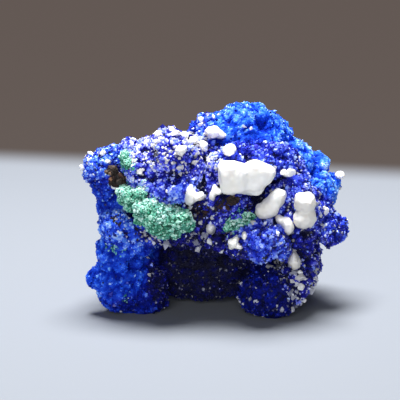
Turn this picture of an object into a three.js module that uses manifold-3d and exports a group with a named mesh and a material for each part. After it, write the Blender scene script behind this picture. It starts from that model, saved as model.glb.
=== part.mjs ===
// Azurite specimen: a thumb-sized cluster of deep blue azurite lobes, grown together into one mass that stands
// on blunt feet worn flat. White nodules, malachite crusts and crumbs of limonite have grown on its surface.
// Millimetres, +Z up, +X to the specimen's right, -Y towards its best face. The origin is on the surface that
// it stands on, under the middle of its outline.
import * as THREE from "three";
import { ImprovedNoise } from "three/addons/math/ImprovedNoise.js";
import { mergeVertices } from "three/addons/utils/BufferGeometryUtils.js";
import Module from "manifold-3d";

const wasm = await Module();
wasm.setup();

// Driving dimensions.
const FACET = 3.3; // half-width of lobe that each step of facets on the azurite covers
const INCLUSION_FACET = 2.2; // the same on the nodules, crusts and crumbs
const BED_GAP = 0.36; // clear space between an inclusion and the azurite under it
const AZURITE_GROWTH = { wave: 4.6, height: 0.9 }; // rounded growth bumps: how wide and how high
const INCLUSION_GROWTH = {
  nodule: { wave: 5.5, height: 0.3 },
  malachite: { wave: 2.4, height: 0.5 },
  limonite: { wave: 1.6, height: 0.4 },
};
const CREASE = 0.4; // share of a growth bump's height by which its creases sink in
const GROUND = 0; // height of the surface that the feet are worn flat on
const CUTTER = { side: 80, depth: 20 }; // block that wears the feet flat

const MATERIALS = {
  azurite: new THREE.MeshStandardMaterial({ color: 0x1e32b4, roughness: 0.6, metalness: 0 }),
  malachite: new THREE.MeshStandardMaterial({ color: 0x4fb48c, roughness: 0.75, metalness: 0 }),
  nodule: new THREE.MeshStandardMaterial({ color: 0xeeebe2, roughness: 0.5, metalness: 0 }),
  limonite: new THREE.MeshStandardMaterial({ color: 0x4a2f1f, roughness: 0.9, metalness: 0 }),
};

// A lobe is an ellipsoid: its centre, its three half-widths, and its turn about X, Y and Z in degrees.
const lobe = (at, size, turn = [0, 0, 0]) => ({ at, size, turn });

// The azurite mass, from its hidden heart outwards.
const AZURITE_LOBES = {
  heart: lobe([0, 4, 17], [12.5, 9.5, 9.5]),
  lowerHeart: lobe([0.5, 7, 8.2], [12.5, 7, 7]),
  apron: lobe([-1.6, 3.8, 4.4], [9, 4, 3.8]),
  crown: lobe([-6.6, -2.6, 22.4], [5.8, 6, 5.4]),
  crownTop: lobe([-6.1, -2, 23.8], [4.5, 4, 3.4]),
  crownLeft: lobe([-10.2, -4, 21.4], [3.6, 4, 3.8]),
  crownLip: lobe([-6.4, -6.4, 19.4], [4.2, 3.2, 2.6]),
  dome: lobe([4.4, 5, 24.4], [6.4, 6.6, 6]),
  domeLeft: lobe([-0.6, 4.4, 25.6], [3.6, 4.2, 3.6]),
  domeSaddle: lobe([1.6, 4.8, 26.6], [2.6, 3.4, 3.2]),
  domeRight: lobe([8, 5.6, 24.8], [3.8, 4.6, 4]),
  shoulder: lobe([10.2, 6.4, 25.6], [1.9, 2.4, 1.9]),
  slope: lobe([11.8, 6, 21.4], [3.6, 4.6, 3.6]),
  farKnob: lobe([15.6, 8, 20.4], [1.9, 2.4, 1.9]),
  farBud: lobe([18.1, 8, 18], [1.5, 1.8, 1.6]),
  rightWall: lobe([14.8, 5, 16.4], [3.4, 5.4, 4]),
  rightMiddle: lobe([15.6, 3, 13.8], [2.4, 3.4, 2.6]),
  rightBulge: lobe([17.2, 1, 11.6], [2.4, 2.6, 2.2]),
  rightLow: lobe([12.6, 0.8, 7.6], [3.4, 4.6, 4]),
  rightAnkle: lobe([12, -3.4, 5.6], [2.6, 3.2, 3.4]),
  rightFoot: lobe([8.4, -4.4, 3.2], [4.8, 3.8, 3.8]),
  knob: lobe([6.6, -9, 12.5], [3.6, 3.2, 2.9]),
  knobLeft: lobe([3.8, -8.2, 11.8], [2.2, 2.6, 2]),
  knobRight: lobe([9, -8, 12.2], [2, 2.4, 2.2]),
  leftFoot: lobe([-13.6, -2.8, 4.8], [4.4, 4.4, 5]),
  leftHeel: lobe([-10.4, -2.4, 3.1], [3.4, 3.6, 3.9]),
  leftCalf: lobe([-14.6, -3.6, 9.4], [3.2, 3.6, 3.2]),
  leftToe: lobe([-17, -3, 5.6], [2.2, 2.2, 2]),
  leftShin: lobe([-14.2, -5.4, 13.2], [2.8, 2.8, 2.9]),
  leftShinBud: lobe([-11.6, -5, 11.4], [2.2, 2.4, 2.2]),
  leftArm: lobe([-15.4, -2.4, 22.2], [3.4, 3.6, 3.2]),
  leftArmTip: lobe([-17.8, -3.2, 22], [2.1, 2.6, 2.5]),
  armBridge: lobe([-12.7, -2.2, 23.3], [2.4, 2.8, 2]),
  leftArmLow: lobe([-16.2, -1, 19.4], [2.2, 3, 2.4]),
  leftWall: lobe([-13.6, 1.4, 15.6], [3.9, 5, 4.6]),
  face: lobe([0, -3.6, 17], [6.2, 4.4, 4.8]),
  faceLow: lobe([-1.4, -2, 12.6], [5.8, 3.6, 3.6]),
  faceLeft: lobe([-6.6, -4.6, 15.2], [5.2, 4, 4]),
  rightFace: lobe([11, -2.8, 15.8], [4.8, 4.6, 5]),
  rightFaceLow: lobe([11.6, -3, 10.8], [3.4, 3.6, 3]),
  brow: lobe([3.6, -4.4, 22.2], [5.2, 4.2, 4]),
  rightBrow: lobe([10, -3.4, 23.2], [2.4, 2.8, 2.4]),
  cheek: lobe([11.8, -4.2, 20], [2.4, 2.6, 2.3]),
  backLeft: lobe([-7, 8, 18.5], [7, 6, 6.6]),
  back: lobe([3, 11, 14], [7, 5.4, 7]),
  backRight: lobe([11.4, 9.6, 11.8], [5, 5.2, 5.4]),
  backLow: lobe([-8.2, 7.4, 8.4], [6.2, 5.4, 6]),
  backFoot: lobe([0.6, 9.8, 4.2], [5.4, 4.8, 4.6]),
  outerFoot: lobe([10.8, 6.4, 4.2], [4.4, 4.6, 4.6]),
};

// What has grown on the azurite. The lobes of each piece overlap, so that it is one solid.
const INCLUSIONS = [
  {
    name: "white_nodule_large", kind: "nodule",
    lobes: [
      lobe([2.4, -9, 22.3], [2.3, 1.9, 2]),
      lobe([5.4, -8.9, 21.6], [2.7, 1.9, 2]),
      lobe([6.9, -8.4, 22.9], [1.7, 1.5, 1.4]),
    ],
  },
  {
    name: "white_nodule_finger", kind: "nodule",
    lobes: [
      lobe([7.1, -7.4, 17], [1.5, 1.4, 1.3]),
      lobe([9.2, -7.2, 18.8], [1.9, 1.4, 1.2], [0, -42, 0]),
    ],
  },
  {
    name: "white_nodule_twin", kind: "nodule",
    lobes: [lobe([13, -7.5, 18.2], [1.6, 1.5, 1.6]), lobe([13.2, -7.2, 15.6], [1.7, 1.6, 1.7])],
  },
  {
    name: "white_nodule_crest", kind: "nodule",
    lobes: [lobe([-0.7, 0.3, 27], [1.3, 1.2, 1]), lobe([0.7, 0.4, 26.8], [1.4, 1.2, 0.9])],
  },
  { name: "white_nodule_round", kind: "nodule", lobes: [lobe([2, -6.2, 25.4], [1.2, 1.1, 1.05])] },
  {
    name: "white_nodule_fork", kind: "nodule",
    lobes: [
      lobe([-3.8, -8.2, 19.4], [0.8, 0.9, 1.4], [0, 10, 0]),
      lobe([-2.8, -8.2, 19.4], [1.4, 0.9, 0.8], [0, -30, 0]),
    ],
  },
  { name: "white_nodule_tooth", kind: "nodule", lobes: [lobe([0, -7.7, 19.4], [0.9, 0.9, 1.2], [0, 20, 0])] },
  {
    name: "white_nodule_chin", kind: "nodule",
    lobes: [lobe([2.4, -10, 12.5], [1, 0.9, 0.8]), lobe([3.4, -10.4, 13.2], [0.8, 0.8, 0.7])],
  },
  {
    name: "white_nodule_hook", kind: "nodule",
    lobes: [lobe([9.6, -7.7, 14.9], [0.8, 0.8, 0.7]), lobe([10.3, -7.7, 13.6], [0.8, 0.8, 1.3], [0, -14, 0])],
  },
  { name: "white_nodule_shard", kind: "nodule", lobes: [lobe([11.4, -6, 9.3], [1, 0.9, 1.7], [0, -14, 0])] },
  { name: "white_nodule_crown_left", kind: "nodule", lobes: [lobe([-8.4, -3.9, 27.4], [0.9, 0.9, 0.85])] },
  { name: "white_nodule_crown_right", kind: "nodule", lobes: [lobe([-5, -7.6, 25.5], [1.1, 0.9, 1])] },
  {
    name: "white_nodule_saddle", kind: "nodule",
    lobes: [lobe([-3, -4.3, 26.5], [0.9, 0.9, 0.8]), lobe([-1.8, -4, 25.7], [1, 0.9, 0.8])],
  },
  { name: "white_nodule_middle", kind: "nodule", lobes: [lobe([-0.8, -6.7, 13.8], [0.95, 0.9, 0.9])] },
  { name: "white_nodule_right_tip", kind: "nodule", lobes: [lobe([19.3, 7.4, 18.8], [1, 1, 0.95])] },
  {
    name: "white_nodule_back_upper", kind: "nodule",
    lobes: [lobe([4.4, 12, 24], [1.9, 1.4, 1.3], [0, 24, 0]), lobe([2.4, 12.4, 22.8], [1.3, 1.2, 1.2])],
  },
  {
    name: "white_nodule_back_lower", kind: "nodule",
    lobes: [lobe([7.2, 15.6, 14], [1.4, 1.3, 2], [0, 20, 0])],
  },
  { name: "white_nodule_left_side", kind: "nodule", lobes: [lobe([-16.4, 5, 15.6], [1, 1.4, 1.2])] },
  {
    name: "malachite_crust", kind: "malachite",
    lobes: [
      lobe([-12.6, -6.2, 18.4], [1.8, 1.9, 1.8]),
      lobe([-10.9, -7.6, 16.9], [2, 1.7, 1.6]),
      lobe([-8.6, -8.8, 15.9], [2.5, 1.7, 1.7]),
      lobe([-6, -8.6, 15.3], [2.4, 1.7, 2]),
      lobe([-8.8, -7.8, 14.2], [2.4, 1.5, 1.3]),
    ],
  },
  {
    name: "malachite_tuft", kind: "malachite",
    lobes: [lobe([2.4, -7.2, 14.6], [1.2, 1, 0.8]), lobe([4, -7, 15.1], [1.4, 1, 0.9])],
  },
  {
    name: "malachite_back", kind: "malachite",
    lobes: [lobe([-5.2, 12.8, 12.4], [2.3, 1.6, 1.5]), lobe([-7.6, 12.8, 11.2], [1.8, 1.5, 1.3])],
  },
  { name: "malachite_fleck", kind: "malachite", lobes: [lobe([-12.7, -5.6, 23.6], [1.1, 1.2, 1.3])] },
  {
    name: "limonite_left", kind: "limonite",
    lobes: [lobe([-15.1, -5.5, 22.2], [1.1, 1.1, 1]), lobe([-14.3, -5.5, 21.2], [1.1, 1.1, 1.1])],
  },
  { name: "limonite_middle", kind: "limonite", lobes: [lobe([2.4, -7.9, 18.3], [1.3, 1, 0.8])] },
];

const noise = new ImprovedNoise();

/** Height of the rounded growth bumps at a point: smooth domes that meet in creases. */
function growthHeight(point, growth) {
  const { x, y, z } = point.clone().divideScalar(growth.wave);
  return growth.height * (Math.abs(noise.noise(x, y, z)) * 2 - CREASE);
}

/** A lobe's closed, bumpy surface, grown outwards by a margin: larger lobes have more steps of facets. */
function lobeGeometry({ at, size, turn }, facet, growth, margin) {
  const halfWidth = (size[0] + size[1] + size[2]) / 3;
  const geometry = new THREE.IcosahedronGeometry(1, Math.round(halfWidth / facet));
  const positions = geometry.getAttribute("position");
  const radii = new THREE.Vector3(...size);
  const spin = new THREE.Euler(...turn.map(THREE.MathUtils.degToRad));
  const centre = new THREE.Vector3(...at);
  for (let i = 0; i < positions.count; i++) {
    const direction = new THREE.Vector3().fromBufferAttribute(positions, i).normalize();
    const outward = direction.clone().divide(radii).normalize().applyEuler(spin);
    const point = direction.multiply(radii).applyEuler(spin).add(centre);
    point.addScaledVector(outward, growthHeight(point, growth) + margin);
    positions.setXYZ(i, point.x, point.y, point.z);
  }
  return geometry;
}

/** A geometry as a manifold-3d solid. */
function solidOf(geometry) {
  const bare = geometry.clone().deleteAttribute("normal").deleteAttribute("uv");
  const merged = mergeVertices(bare, 1e-4);
  return new wasm.Manifold(new wasm.Mesh({
    numProp: 3,
    vertProperties: new Float32Array(merged.getAttribute("position").array),
    triVerts: new Uint32Array(merged.index.array),
  }));
}

/** A manifold-3d solid as a geometry. */
function geometryOf(solid) {
  const mesh = solid.getMesh();
  const geometry = new THREE.BufferGeometry();
  geometry.setAttribute("position", new THREE.BufferAttribute(mesh.vertProperties, mesh.numProp));
  geometry.setIndex(new THREE.BufferAttribute(mesh.triVerts, 1));
  return geometry;
}

/** The union of lobes, each grown outwards by a margin. */
function grownTogether(lobes, facet, growth, margin = 0) {
  return lobes
    .map((one) => solidOf(lobeGeometry(one, facet, growth, margin)))
    .reduce((whole, next) => whole.add(next));
}

/** The largest body of a solid, without the chips that a cut can leave. */
function mainBody(solid) {
  return solid.decompose().sort((a, b) => b.volume() - a.volume())[0];
}

/** The block under the ground plane, which wears the feet flat. */
function groundBlock() {
  const block = new THREE.BoxGeometry(CUTTER.side, CUTTER.side, CUTTER.depth);
  block.translate(0, 0, GROUND - CUTTER.depth / 2);
  return solidOf(block);
}

/** The azurite mass, with flats under its feet. */
function azuriteMass() {
  return mainBody(grownTogether(Object.values(AZURITE_LOBES), FACET, AZURITE_GROWTH).subtract(groundBlock()));
}

/** An inclusion, cut back from the azurite that it sits on. */
function inclusion({ kind, lobes }, bed) {
  return mainBody(grownTogether(lobes, INCLUSION_FACET, INCLUSION_GROWTH[kind]).subtract(bed));
}

/** A solid as a named mesh. */
function namedMesh(name, solid, material) {
  const mesh = new THREE.Mesh(geometryOf(solid), material);
  mesh.name = name;
  return mesh;
}

const specimen = new THREE.Group();
specimen.name = "azurite_specimen";
specimen.add(namedMesh("azurite_mass", azuriteMass(), MATERIALS.azurite));
const bed = grownTogether(Object.values(AZURITE_LOBES), FACET, AZURITE_GROWTH, BED_GAP);
for (const piece of INCLUSIONS)
  specimen.add(namedMesh(piece.name, inclusion(piece, bed), MATERIALS[piece.kind]));

// The outline's middle goes over the origin.
const outline = new THREE.Box3().setFromObject(specimen);
const middle = outline.getCenter(new THREE.Vector3());
specimen.position.set(-middle.x, -middle.y, -outline.min.z);

export default specimen;
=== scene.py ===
"""Azurite specimen: deep blue lobes under a druse of micro-crystals, with white and green minerals.

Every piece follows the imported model. The azurite and the limonite are grown from the CAD solids that
they stand for. The nodules and the malachite crusts are hewn from lumps that sit on theirs. The small
crystals are planted on those surfaces. Sizes are in millimetres until a mesh is made, and in metres from
there.
"""

from __future__ import annotations

import logging
import math
from collections.abc import Callable, Sequence
from dataclasses import dataclass, field, fields
from enum import Enum, IntEnum
from functools import cached_property

import bmesh
import bpy
import numpy as np
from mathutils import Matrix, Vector
from numpy.typing import NDArray


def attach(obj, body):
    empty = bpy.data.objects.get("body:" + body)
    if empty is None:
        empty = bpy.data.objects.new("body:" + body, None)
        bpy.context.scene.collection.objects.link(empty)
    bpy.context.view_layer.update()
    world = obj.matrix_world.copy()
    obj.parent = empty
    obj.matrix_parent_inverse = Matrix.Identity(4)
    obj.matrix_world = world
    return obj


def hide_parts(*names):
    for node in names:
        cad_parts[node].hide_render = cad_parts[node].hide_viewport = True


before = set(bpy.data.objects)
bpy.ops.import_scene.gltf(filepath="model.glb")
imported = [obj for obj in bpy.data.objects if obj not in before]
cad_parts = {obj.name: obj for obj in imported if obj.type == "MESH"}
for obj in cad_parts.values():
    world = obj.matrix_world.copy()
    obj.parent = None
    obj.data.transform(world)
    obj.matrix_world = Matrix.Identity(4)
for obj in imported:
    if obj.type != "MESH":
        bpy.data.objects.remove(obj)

Numbers = NDArray[np.float64]
Indices = NDArray[np.int64]
Pair = tuple[float, float]
Spot = tuple[float, float, float]
Patches = tuple[tuple[Spot, int, float], ...]
Colour = tuple[float, float, float]
Ramp = tuple[tuple[float, Colour], ...]

MM = 0.001
# Each corner's tint and hue, which the materials read as a UV map.
PALETTE_MAP = "OFBake"
LOG = logging.getLogger("azurite")


class Seed(IntEnum):
    """Seeds of the noise layers and of the random draws. Places bent by noise take three seeds in a row,
    and pieces made in a loop take one each."""

    LOBES = 1
    KNOBS = 2
    BUDS = 3
    PITS = 4
    BENDS = 10
    WHITE_LUMPS = 20
    WHITE_DENTS = 21
    WHITE_GRAIN = 22
    WHITE_STAINS = 23
    WHITE_GREYS = 24
    BORDERS = 40
    HUES = 44
    TINTS = 45
    FROST = 46
    GRIT = 47
    MALACHITE_KNOBS = 51
    MALACHITE_HUES = 52
    MALACHITE_CLUMPS = 53
    MALACHITE_RAGGED = 54
    DENT_EDGES = 60
    LIMONITE_KNOBS = 71
    LIMONITE_WEATHER = 72
    DRUSE = 100
    VELVET = 200
    GRAINS = 300
    CHIPS = 310
    MALACHITE_LUMPS = 380
    MALACHITE_BASES = 390
    MALACHITE_COATS = 400
    MALACHITE_STRAYS = 450
    LIMONITE = 500
    LIMONITE_LOOSE = 540


# --- Noise ----------------------------------------------------------------------------------------

# What lattice cells, seeds and columns are multiplied by, so that their random numbers are unlike.
CELL_PRIMES = (73856093, 19349663, 83492791)
SEED_PRIME = 2654435761
COLUMN_STEP = 0x9E3779B9
STIRRER = 0x45D9F3B
LOW_BITS = 0xFFFFFFFF
# Farther than any seed point lies, in cell widths.
NO_SEED_POINT = 9.0
# How far from a crease the surface is clear of it, in knob widths.
CREASE_WIDTH = 0.33


def hashed(cells: Indices, seed: int, count: int) -> Numbers:
    """Repeatable random numbers for lattice cells: the cell's three numbers are multiplied by primes,
    joined and stirred by shifts and multiplications.

    Args:
        cells: Lattice cells, one row each.
        seed: Which of many independent sets of numbers to give.
        count: How many numbers each cell gets.

    Returns:
        One row per cell, each number from 0 to 1.
    """
    joined = np.bitwise_xor.reduce(cells * CELL_PRIMES, axis=1) ^ (seed * SEED_PRIME)
    columns = []
    for column in range(count):
        mixed = (joined + column * COLUMN_STEP) & LOW_BITS
        for _ in range(2):
            mixed = ((mixed ^ (mixed >> 16)) * STIRRER) & LOW_BITS
        columns.append((mixed ^ (mixed >> 16)) / 2.0**32)
    return np.stack(columns, axis=1)


def cellular(places: Numbers, wave: float, seed: int) -> tuple[Numbers, Numbers]:
    """Distances to the seed points of a jittered lattice, with one seed point in each cell.

    Args:
        places: Points in millimetres.
        wave: Width of a lattice cell.
        seed: Which lattice.

    Returns:
        The distance to the nearest seed point and to the next one, both in cell widths.
    """
    scaled = places / wave
    base = np.floor(scaled).astype(np.int64)
    first = np.full(len(places), NO_SEED_POINT)
    second = first.copy()
    for step in np.ndindex(3, 3, 3):
        cell = base + (np.array(step) - 1)
        gap = np.linalg.norm(cell + hashed(cell, seed, 3) - scaled, axis=1)
        second = np.where(gap < first, first, np.minimum(second, gap))
        first = np.minimum(first, gap)
    return first, second


def cloudy(places: Numbers, wave: float, seed: int, octaves: int = 2) -> Numbers:
    """Smooth noise: random numbers at lattice corners, blended along eased cell coordinates, with octaves
    added at half the width and half the strength.

    Args:
        places: Points in millimetres.
        wave: Width of a lattice cell in the first octave.
        seed: Which lattice.
        octaves: How many layers to add.

    Returns:
        One number per point, from -1 to 1.
    """
    total = np.zeros(len(places))
    for octave in range(octaves):
        scaled = places * (2**octave / wave)
        base = np.floor(scaled)
        eased = scaled - base
        eased = eased * eased * (3 - 2 * eased)
        for corner in np.ndindex(2, 2, 2):
            share = np.prod(np.where(corner, eased, 1 - eased), axis=1)
            value = hashed(base.astype(np.int64) + corner, seed + octave, 1)[:, 0]
            total += share * (2 * value - 1) / 2**octave
    return total / (2 - 0.5 ** (octaves - 1))


def bent(places: Numbers, reach: float, wave: float, seed: int) -> Numbers:
    """Points moved by smooth noise, a layer for each axis, so that neither a lattice nor a smooth border
    shows.

    Args:
        places: Points in millimetres.
        reach: How far noise of 1 moves them.
        wave: Width of the noise.
        seed: The first of three lattices.

    Returns:
        The points, moved.
    """
    return places + reach * np.stack([cloudy(places, wave, seed + axis) for axis in range(3)], axis=1)


def eased_step(value: Numbers, low: float, high: float) -> Numbers:
    """0 below low, 1 above high and an S-shaped rise between."""
    share = np.clip((value - low) / (high - low), 0, 1)
    return share * share * (3 - 2 * share)


def knobs(places: Numbers, wave: float, seed: int) -> Numbers:
    """Rounded knobs that meet in creases: one minus the squared distance to the nearest seed point."""
    return 1 - np.minimum(cellular(places, wave, seed)[0], 1) ** 2


def clear_of_creases(places: Numbers, wave: float, seed: int) -> Numbers:
    """How far points lie from the creases between knobs: 0 in a crease and 1 a third of a knob away."""
    first, second = cellular(places, wave, seed)
    return eased_step(second - first, 0.0, CREASE_WIDTH)


# --- Meshes ---------------------------------------------------------------------------------------


@dataclass
class Shell:
    """A closed surface: its corners in millimetres and its faces, all with the same number of corners."""

    places: Numbers
    faces: Indices

    def normals(self) -> Numbers:
        """The corners' unit normals: the normals of the faces round each corner, summed by area."""
        tilt = self.tilts()
        total = np.zeros(self.places.shape)
        for axis, way in enumerate(tilt.T):
            for ends in self.faces.T:
                total[:, axis] += np.bincount(ends, way, minlength=len(total))
        return total / np.maximum(np.linalg.norm(total, axis=1, keepdims=True), 1e-12)

    def tilts(self) -> Numbers:
        """The faces' normals, each as long as twice its area: the cross product of its diagonals."""
        corners = self.places[self.faces]
        return np.cross(corners[:, 2] - corners[:, 0], corners[:, -1] - corners[:, 1])

    def hollows(self, rounds: int) -> Numbers:
        """How deep each corner lies in a hollow: the surface is averaged over its neighbours a number of
        times, and the way it moves outwards is measured.

        Args:
            rounds: How many times the surface is averaged; more rounds see wider hollows.

        Returns:
            Millimetres per corner, above 0 in hollows and below 0 on bumps.
        """
        ends = np.concatenate([self.faces, np.roll(self.faces, -1, axis=1)]).ravel()
        others = np.concatenate([np.roll(self.faces, -1, axis=1), self.faces]).ravel()
        count = np.maximum(np.bincount(ends, minlength=len(self.places)), 1)
        places = self.places
        for _ in range(rounds):
            sums = [np.bincount(ends, places[others, axis], minlength=len(places)) for axis in range(3)]
            places = np.stack(sums, axis=1) / count[:, None]
        return ((places - self.places) * self.normals()).sum(axis=1)

    def areas(self) -> Numbers:
        """The faces' areas in square millimetres."""
        return np.linalg.norm(self.tilts(), axis=1) / 2

    def scattered(self, density: float, rng: np.random.Generator) -> tuple[Numbers, Numbers, Indices]:
        """Picks faces at random, larger ones more often.

        Args:
            density: How many to a square millimetre.
            rng: The random numbers.

        Returns:
            Each face's middle, the normal at its first corner, and that corner.
        """
        area = self.areas()
        chosen = self.faces[rng.choice(len(area), int(density * area.sum()), p=area / area.sum())]
        return self.places[chosen].mean(axis=1), self.normals()[chosen[:, 0]], chosen[:, 0]


def read_points(mesh: bpy.types.Mesh) -> Numbers:
    """A mesh's corners in millimetres."""
    places = np.empty(len(mesh.vertices) * 3, np.float32)
    mesh.vertices.foreach_get("co", places)
    return places.reshape(-1, 3).astype(np.float64) / MM


def new_object(name: str, data: bpy.types.ID) -> bpy.types.Object:
    """A new object in the scene, at the origin."""
    made = bpy.data.objects.new(name, data)
    bpy.context.scene.collection.objects.link(made)
    return made


def remeshed(mesh: bpy.types.Mesh, voxel: float, smoothing: int) -> Shell:
    """A solid as a fine, even, smooth shell: its doubles are merged, it is remeshed on a grid and its
    corners are averaged with their neighbours. The mesh is used up.

    Args:
        mesh: The solid, in metres; parts of it that overlap become one.
        voxel: Width of the grid in millimetres.
        smoothing: How many times the corners are averaged.

    Returns:
        The shell, of four-cornered faces.
    """
    copy = new_object("copy", mesh)
    weld = copy.modifiers.new("weld", "WELD")
    weld.merge_threshold = 1e-6
    remesh = copy.modifiers.new("remesh", "REMESH")
    remesh.mode = "VOXEL"
    remesh.voxel_size = voxel * MM
    relax = copy.modifiers.new("relax", "SMOOTH")
    relax.iterations = smoothing
    fine = copy.evaluated_get(bpy.context.evaluated_depsgraph_get()).to_mesh()
    corners = np.empty(len(fine.loops), np.int32)
    fine.loops.foreach_get("vertex_index", corners)
    shell = Shell(read_points(fine), corners.reshape(-1, 4).astype(np.int64))
    bpy.data.objects.remove(copy)
    bpy.data.meshes.remove(mesh)
    return shell


def grown_from(node: str, voxel: float, smoothing: int) -> Shell:
    """A copy of a CAD node's solid as a fine, even, smooth shell."""
    return remeshed(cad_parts[node].data.copy(), voxel, smoothing)


class Facing(Enum):
    """Which way a nodule or crust faces: the direction to its right, and the direction outwards."""

    FRONT = ((1.0, 0.0, 0.0), (0.0, -1.0, 0.0))
    BACK = ((-1.0, 0.0, 0.0), (0.0, 1.0, 0.0))
    LEFT = ((0.0, -1.0, 0.0), (-1.0, 0.0, 0.0))


@dataclass(frozen=True)
class Lump:
    """A convex part of a nodule or crust.

    Attributes:
        outline: Its outline as seen from outside, in millimetres right of and above the CAD solid's middle.
        thick: How deep it reaches behind the CAD solid's front.
        flat: Width of its flat front, as a share of its outline.
        ahead: How far it stands in front of the CAD solid; below 0, how far behind its front.
    """

    outline: tuple[Pair, ...]
    thick: float = 3.0
    flat: float = 0.55
    ahead: float = 0.4

    def rings(self) -> tuple[Pair, ...]:
        """The rings' widths and depths from the front to the back, as shares of the outline and
        thickness."""
        return (self.flat, 0.0), (self.flat * 0.4 + 0.52, 0.14), (1.0, 0.42), (1.0, 0.7), (0.8, 1.0)

    def corners(self, node: str, facing: Facing, shift: Pair, rng: np.random.Generator) -> Numbers:
        """The corners that the lump is the hull of: five rings, each the outline narrowed about its
        middle, from the front of the CAD solid there back into the azurite, each corner moved a little at
        random.

        Args:
            node: The CAD node.
            facing: Which way it faces.
            shift: How far right and up of the CAD solid's middle it stands.
            rng: The random numbers.

        Returns:
            The corners in millimetres.
        """
        solid = read_points(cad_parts[node].data)
        middle = (solid.min(axis=0) + solid.max(axis=0)) / 2
        right, out = (np.array(axis) for axis in facing.value)
        outline = np.array(self.outline) + shift
        centre = outline.mean(axis=0)
        seen = np.stack([(solid - middle) @ right, solid[:, 2] - middle[2]], axis=1)
        gap = np.linalg.norm(seen - centre, axis=1)
        near = gap <= max(1.0, gap.min() + 0.4)
        front = ((solid - middle) @ out)[near].max() + self.ahead
        corners = []
        for width, depth in self.rings():
            ring = centre + (outline - centre) * width * rng.uniform(0.94, 1.05, (len(outline), 1))
            back = front - self.thick * (depth + rng.uniform(-0.04, 0.04, len(outline)))
            sideways = ring[:, :1] * right + ring[:, 1:] * (0.0, 0.0, 1.0)
            corners.append(middle + sideways + back[:, None] * out)
        return np.concatenate(corners)


def hewn(
    node: str,
    lumps: Sequence[Lump],
    facing: Facing,
    shift: Pair,
    voxel: float,
    smoothing: int,
    rng: np.random.Generator,
) -> Shell:
    """A nodule or crust as the union of its lumps' hulls, with softened edges.

    Args:
        node: The CAD node that it stands for.
        lumps: Its lumps.
        facing: Which way it faces.
        shift: How far right and up of the CAD solid's middle it stands.
        voxel: Width of the grid in millimetres.
        smoothing: How many times its corners are averaged.
        rng: The random numbers.

    Returns:
        The shell.
    """
    build = bmesh.new()
    for lump in lumps:
        corners = [build.verts.new(place) for place in lump.corners(node, facing, shift, rng) * MM]
        hull = bmesh.ops.convex_hull(build, input=corners)
        spare = [part for part in hull["geom_interior"] if isinstance(part, bmesh.types.BMVert)]
        bmesh.ops.delete(build, geom=spare, context="VERTS")
    mesh = bpy.data.meshes.new(node + "_hulls")
    build.to_mesh(mesh)
    build.free()
    return remeshed(mesh, voxel, smoothing)


def new_piece(
    name: str,
    shell: Shell,
    material: bpy.types.Material,
    palette: Numbers,
    smooth: bool = False,
    replaces: Sequence[str] = (),
) -> bpy.types.Object:
    """Makes a shell an object that rides with the specimen.

    Args:
        name: The piece's name.
        shell: Its surface, in millimetres.
        material: What it wears.
        palette: Each corner's place on the material's palette, as tint and hue from 0 to 1.
        smooth: Whether its faces are shaded as one smooth surface.
        replaces: The CAD nodes that it stands for.

    Returns:
        The object, at the origin, with its place in its mesh.
    """
    mesh = bpy.data.meshes.new(name)
    faces = shell.faces
    mesh.vertices.add(len(shell.places))
    mesh.vertices.foreach_set("co", (shell.places * MM).astype(np.float32).ravel())
    mesh.loops.add(faces.size)
    mesh.loops.foreach_set("vertex_index", faces.astype(np.int32).ravel())
    mesh.polygons.add(len(faces))
    mesh.polygons.foreach_set("loop_start", np.arange(0, faces.size, faces.shape[1], dtype=np.int32))
    mesh.polygons.foreach_set("use_smooth", np.full(len(faces), smooth))
    mesh.update(calc_edges=True)
    layer = mesh.uv_layers.new(name=PALETTE_MAP)
    layer.uv.foreach_set("vector", palette[faces.ravel()].astype(np.float32).ravel())
    mesh.materials.append(material)
    piece = new_object(name, mesh)
    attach(piece, "root")
    if replaces:
        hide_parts(*replaces)
    LOG.info("%s: %d faces", name, len(faces))
    return piece


def planted(form: Shell, roots: Numbers, axes: Numbers, sizes: Numbers) -> Shell:
    """Copies of a small form, joined in one shell: each corner is its root plus its three axes, each
    times the form's coordinate and the copy's size along that axis.

    Args:
        form: The small form, about one unit across.
        roots: Where each copy stands.
        axes: Each copy's three unit axes, as rows.
        sizes: Each copy's size along its axes.

    Returns:
        The shell of all the copies.
    """
    scaled = axes * sizes[:, :, None]
    places = roots[:, None, :] + np.einsum("kj,njc->nkc", form.places, scaled)
    shift = np.arange(len(roots))[:, None, None] * len(form.places)
    return Shell(places.reshape(-1, 3), (form.faces[None] + shift).reshape(-1, form.faces.shape[1]))


def leaning_axes(normals: Numbers, lean: float, rng: np.random.Generator) -> Numbers:
    """Three unit axes for each normal: the third leans away from it at random, and the others turn about
    the third at random.

    Args:
        normals: Unit normals.
        lean: How far the third axis leans, as the usual length of a random vector added to the normal.
        rng: The random numbers.

    Returns:
        The axes, as three rows for each normal.
    """
    up = normals + lean * rng.normal(size=normals.shape)
    up /= np.linalg.norm(up, axis=1, keepdims=True)
    side = np.cross(up, rng.normal(size=up.shape))
    side /= np.maximum(np.linalg.norm(side, axis=1, keepdims=True), 1e-9)
    return np.stack([side, np.cross(up, side), up], axis=1)


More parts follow.
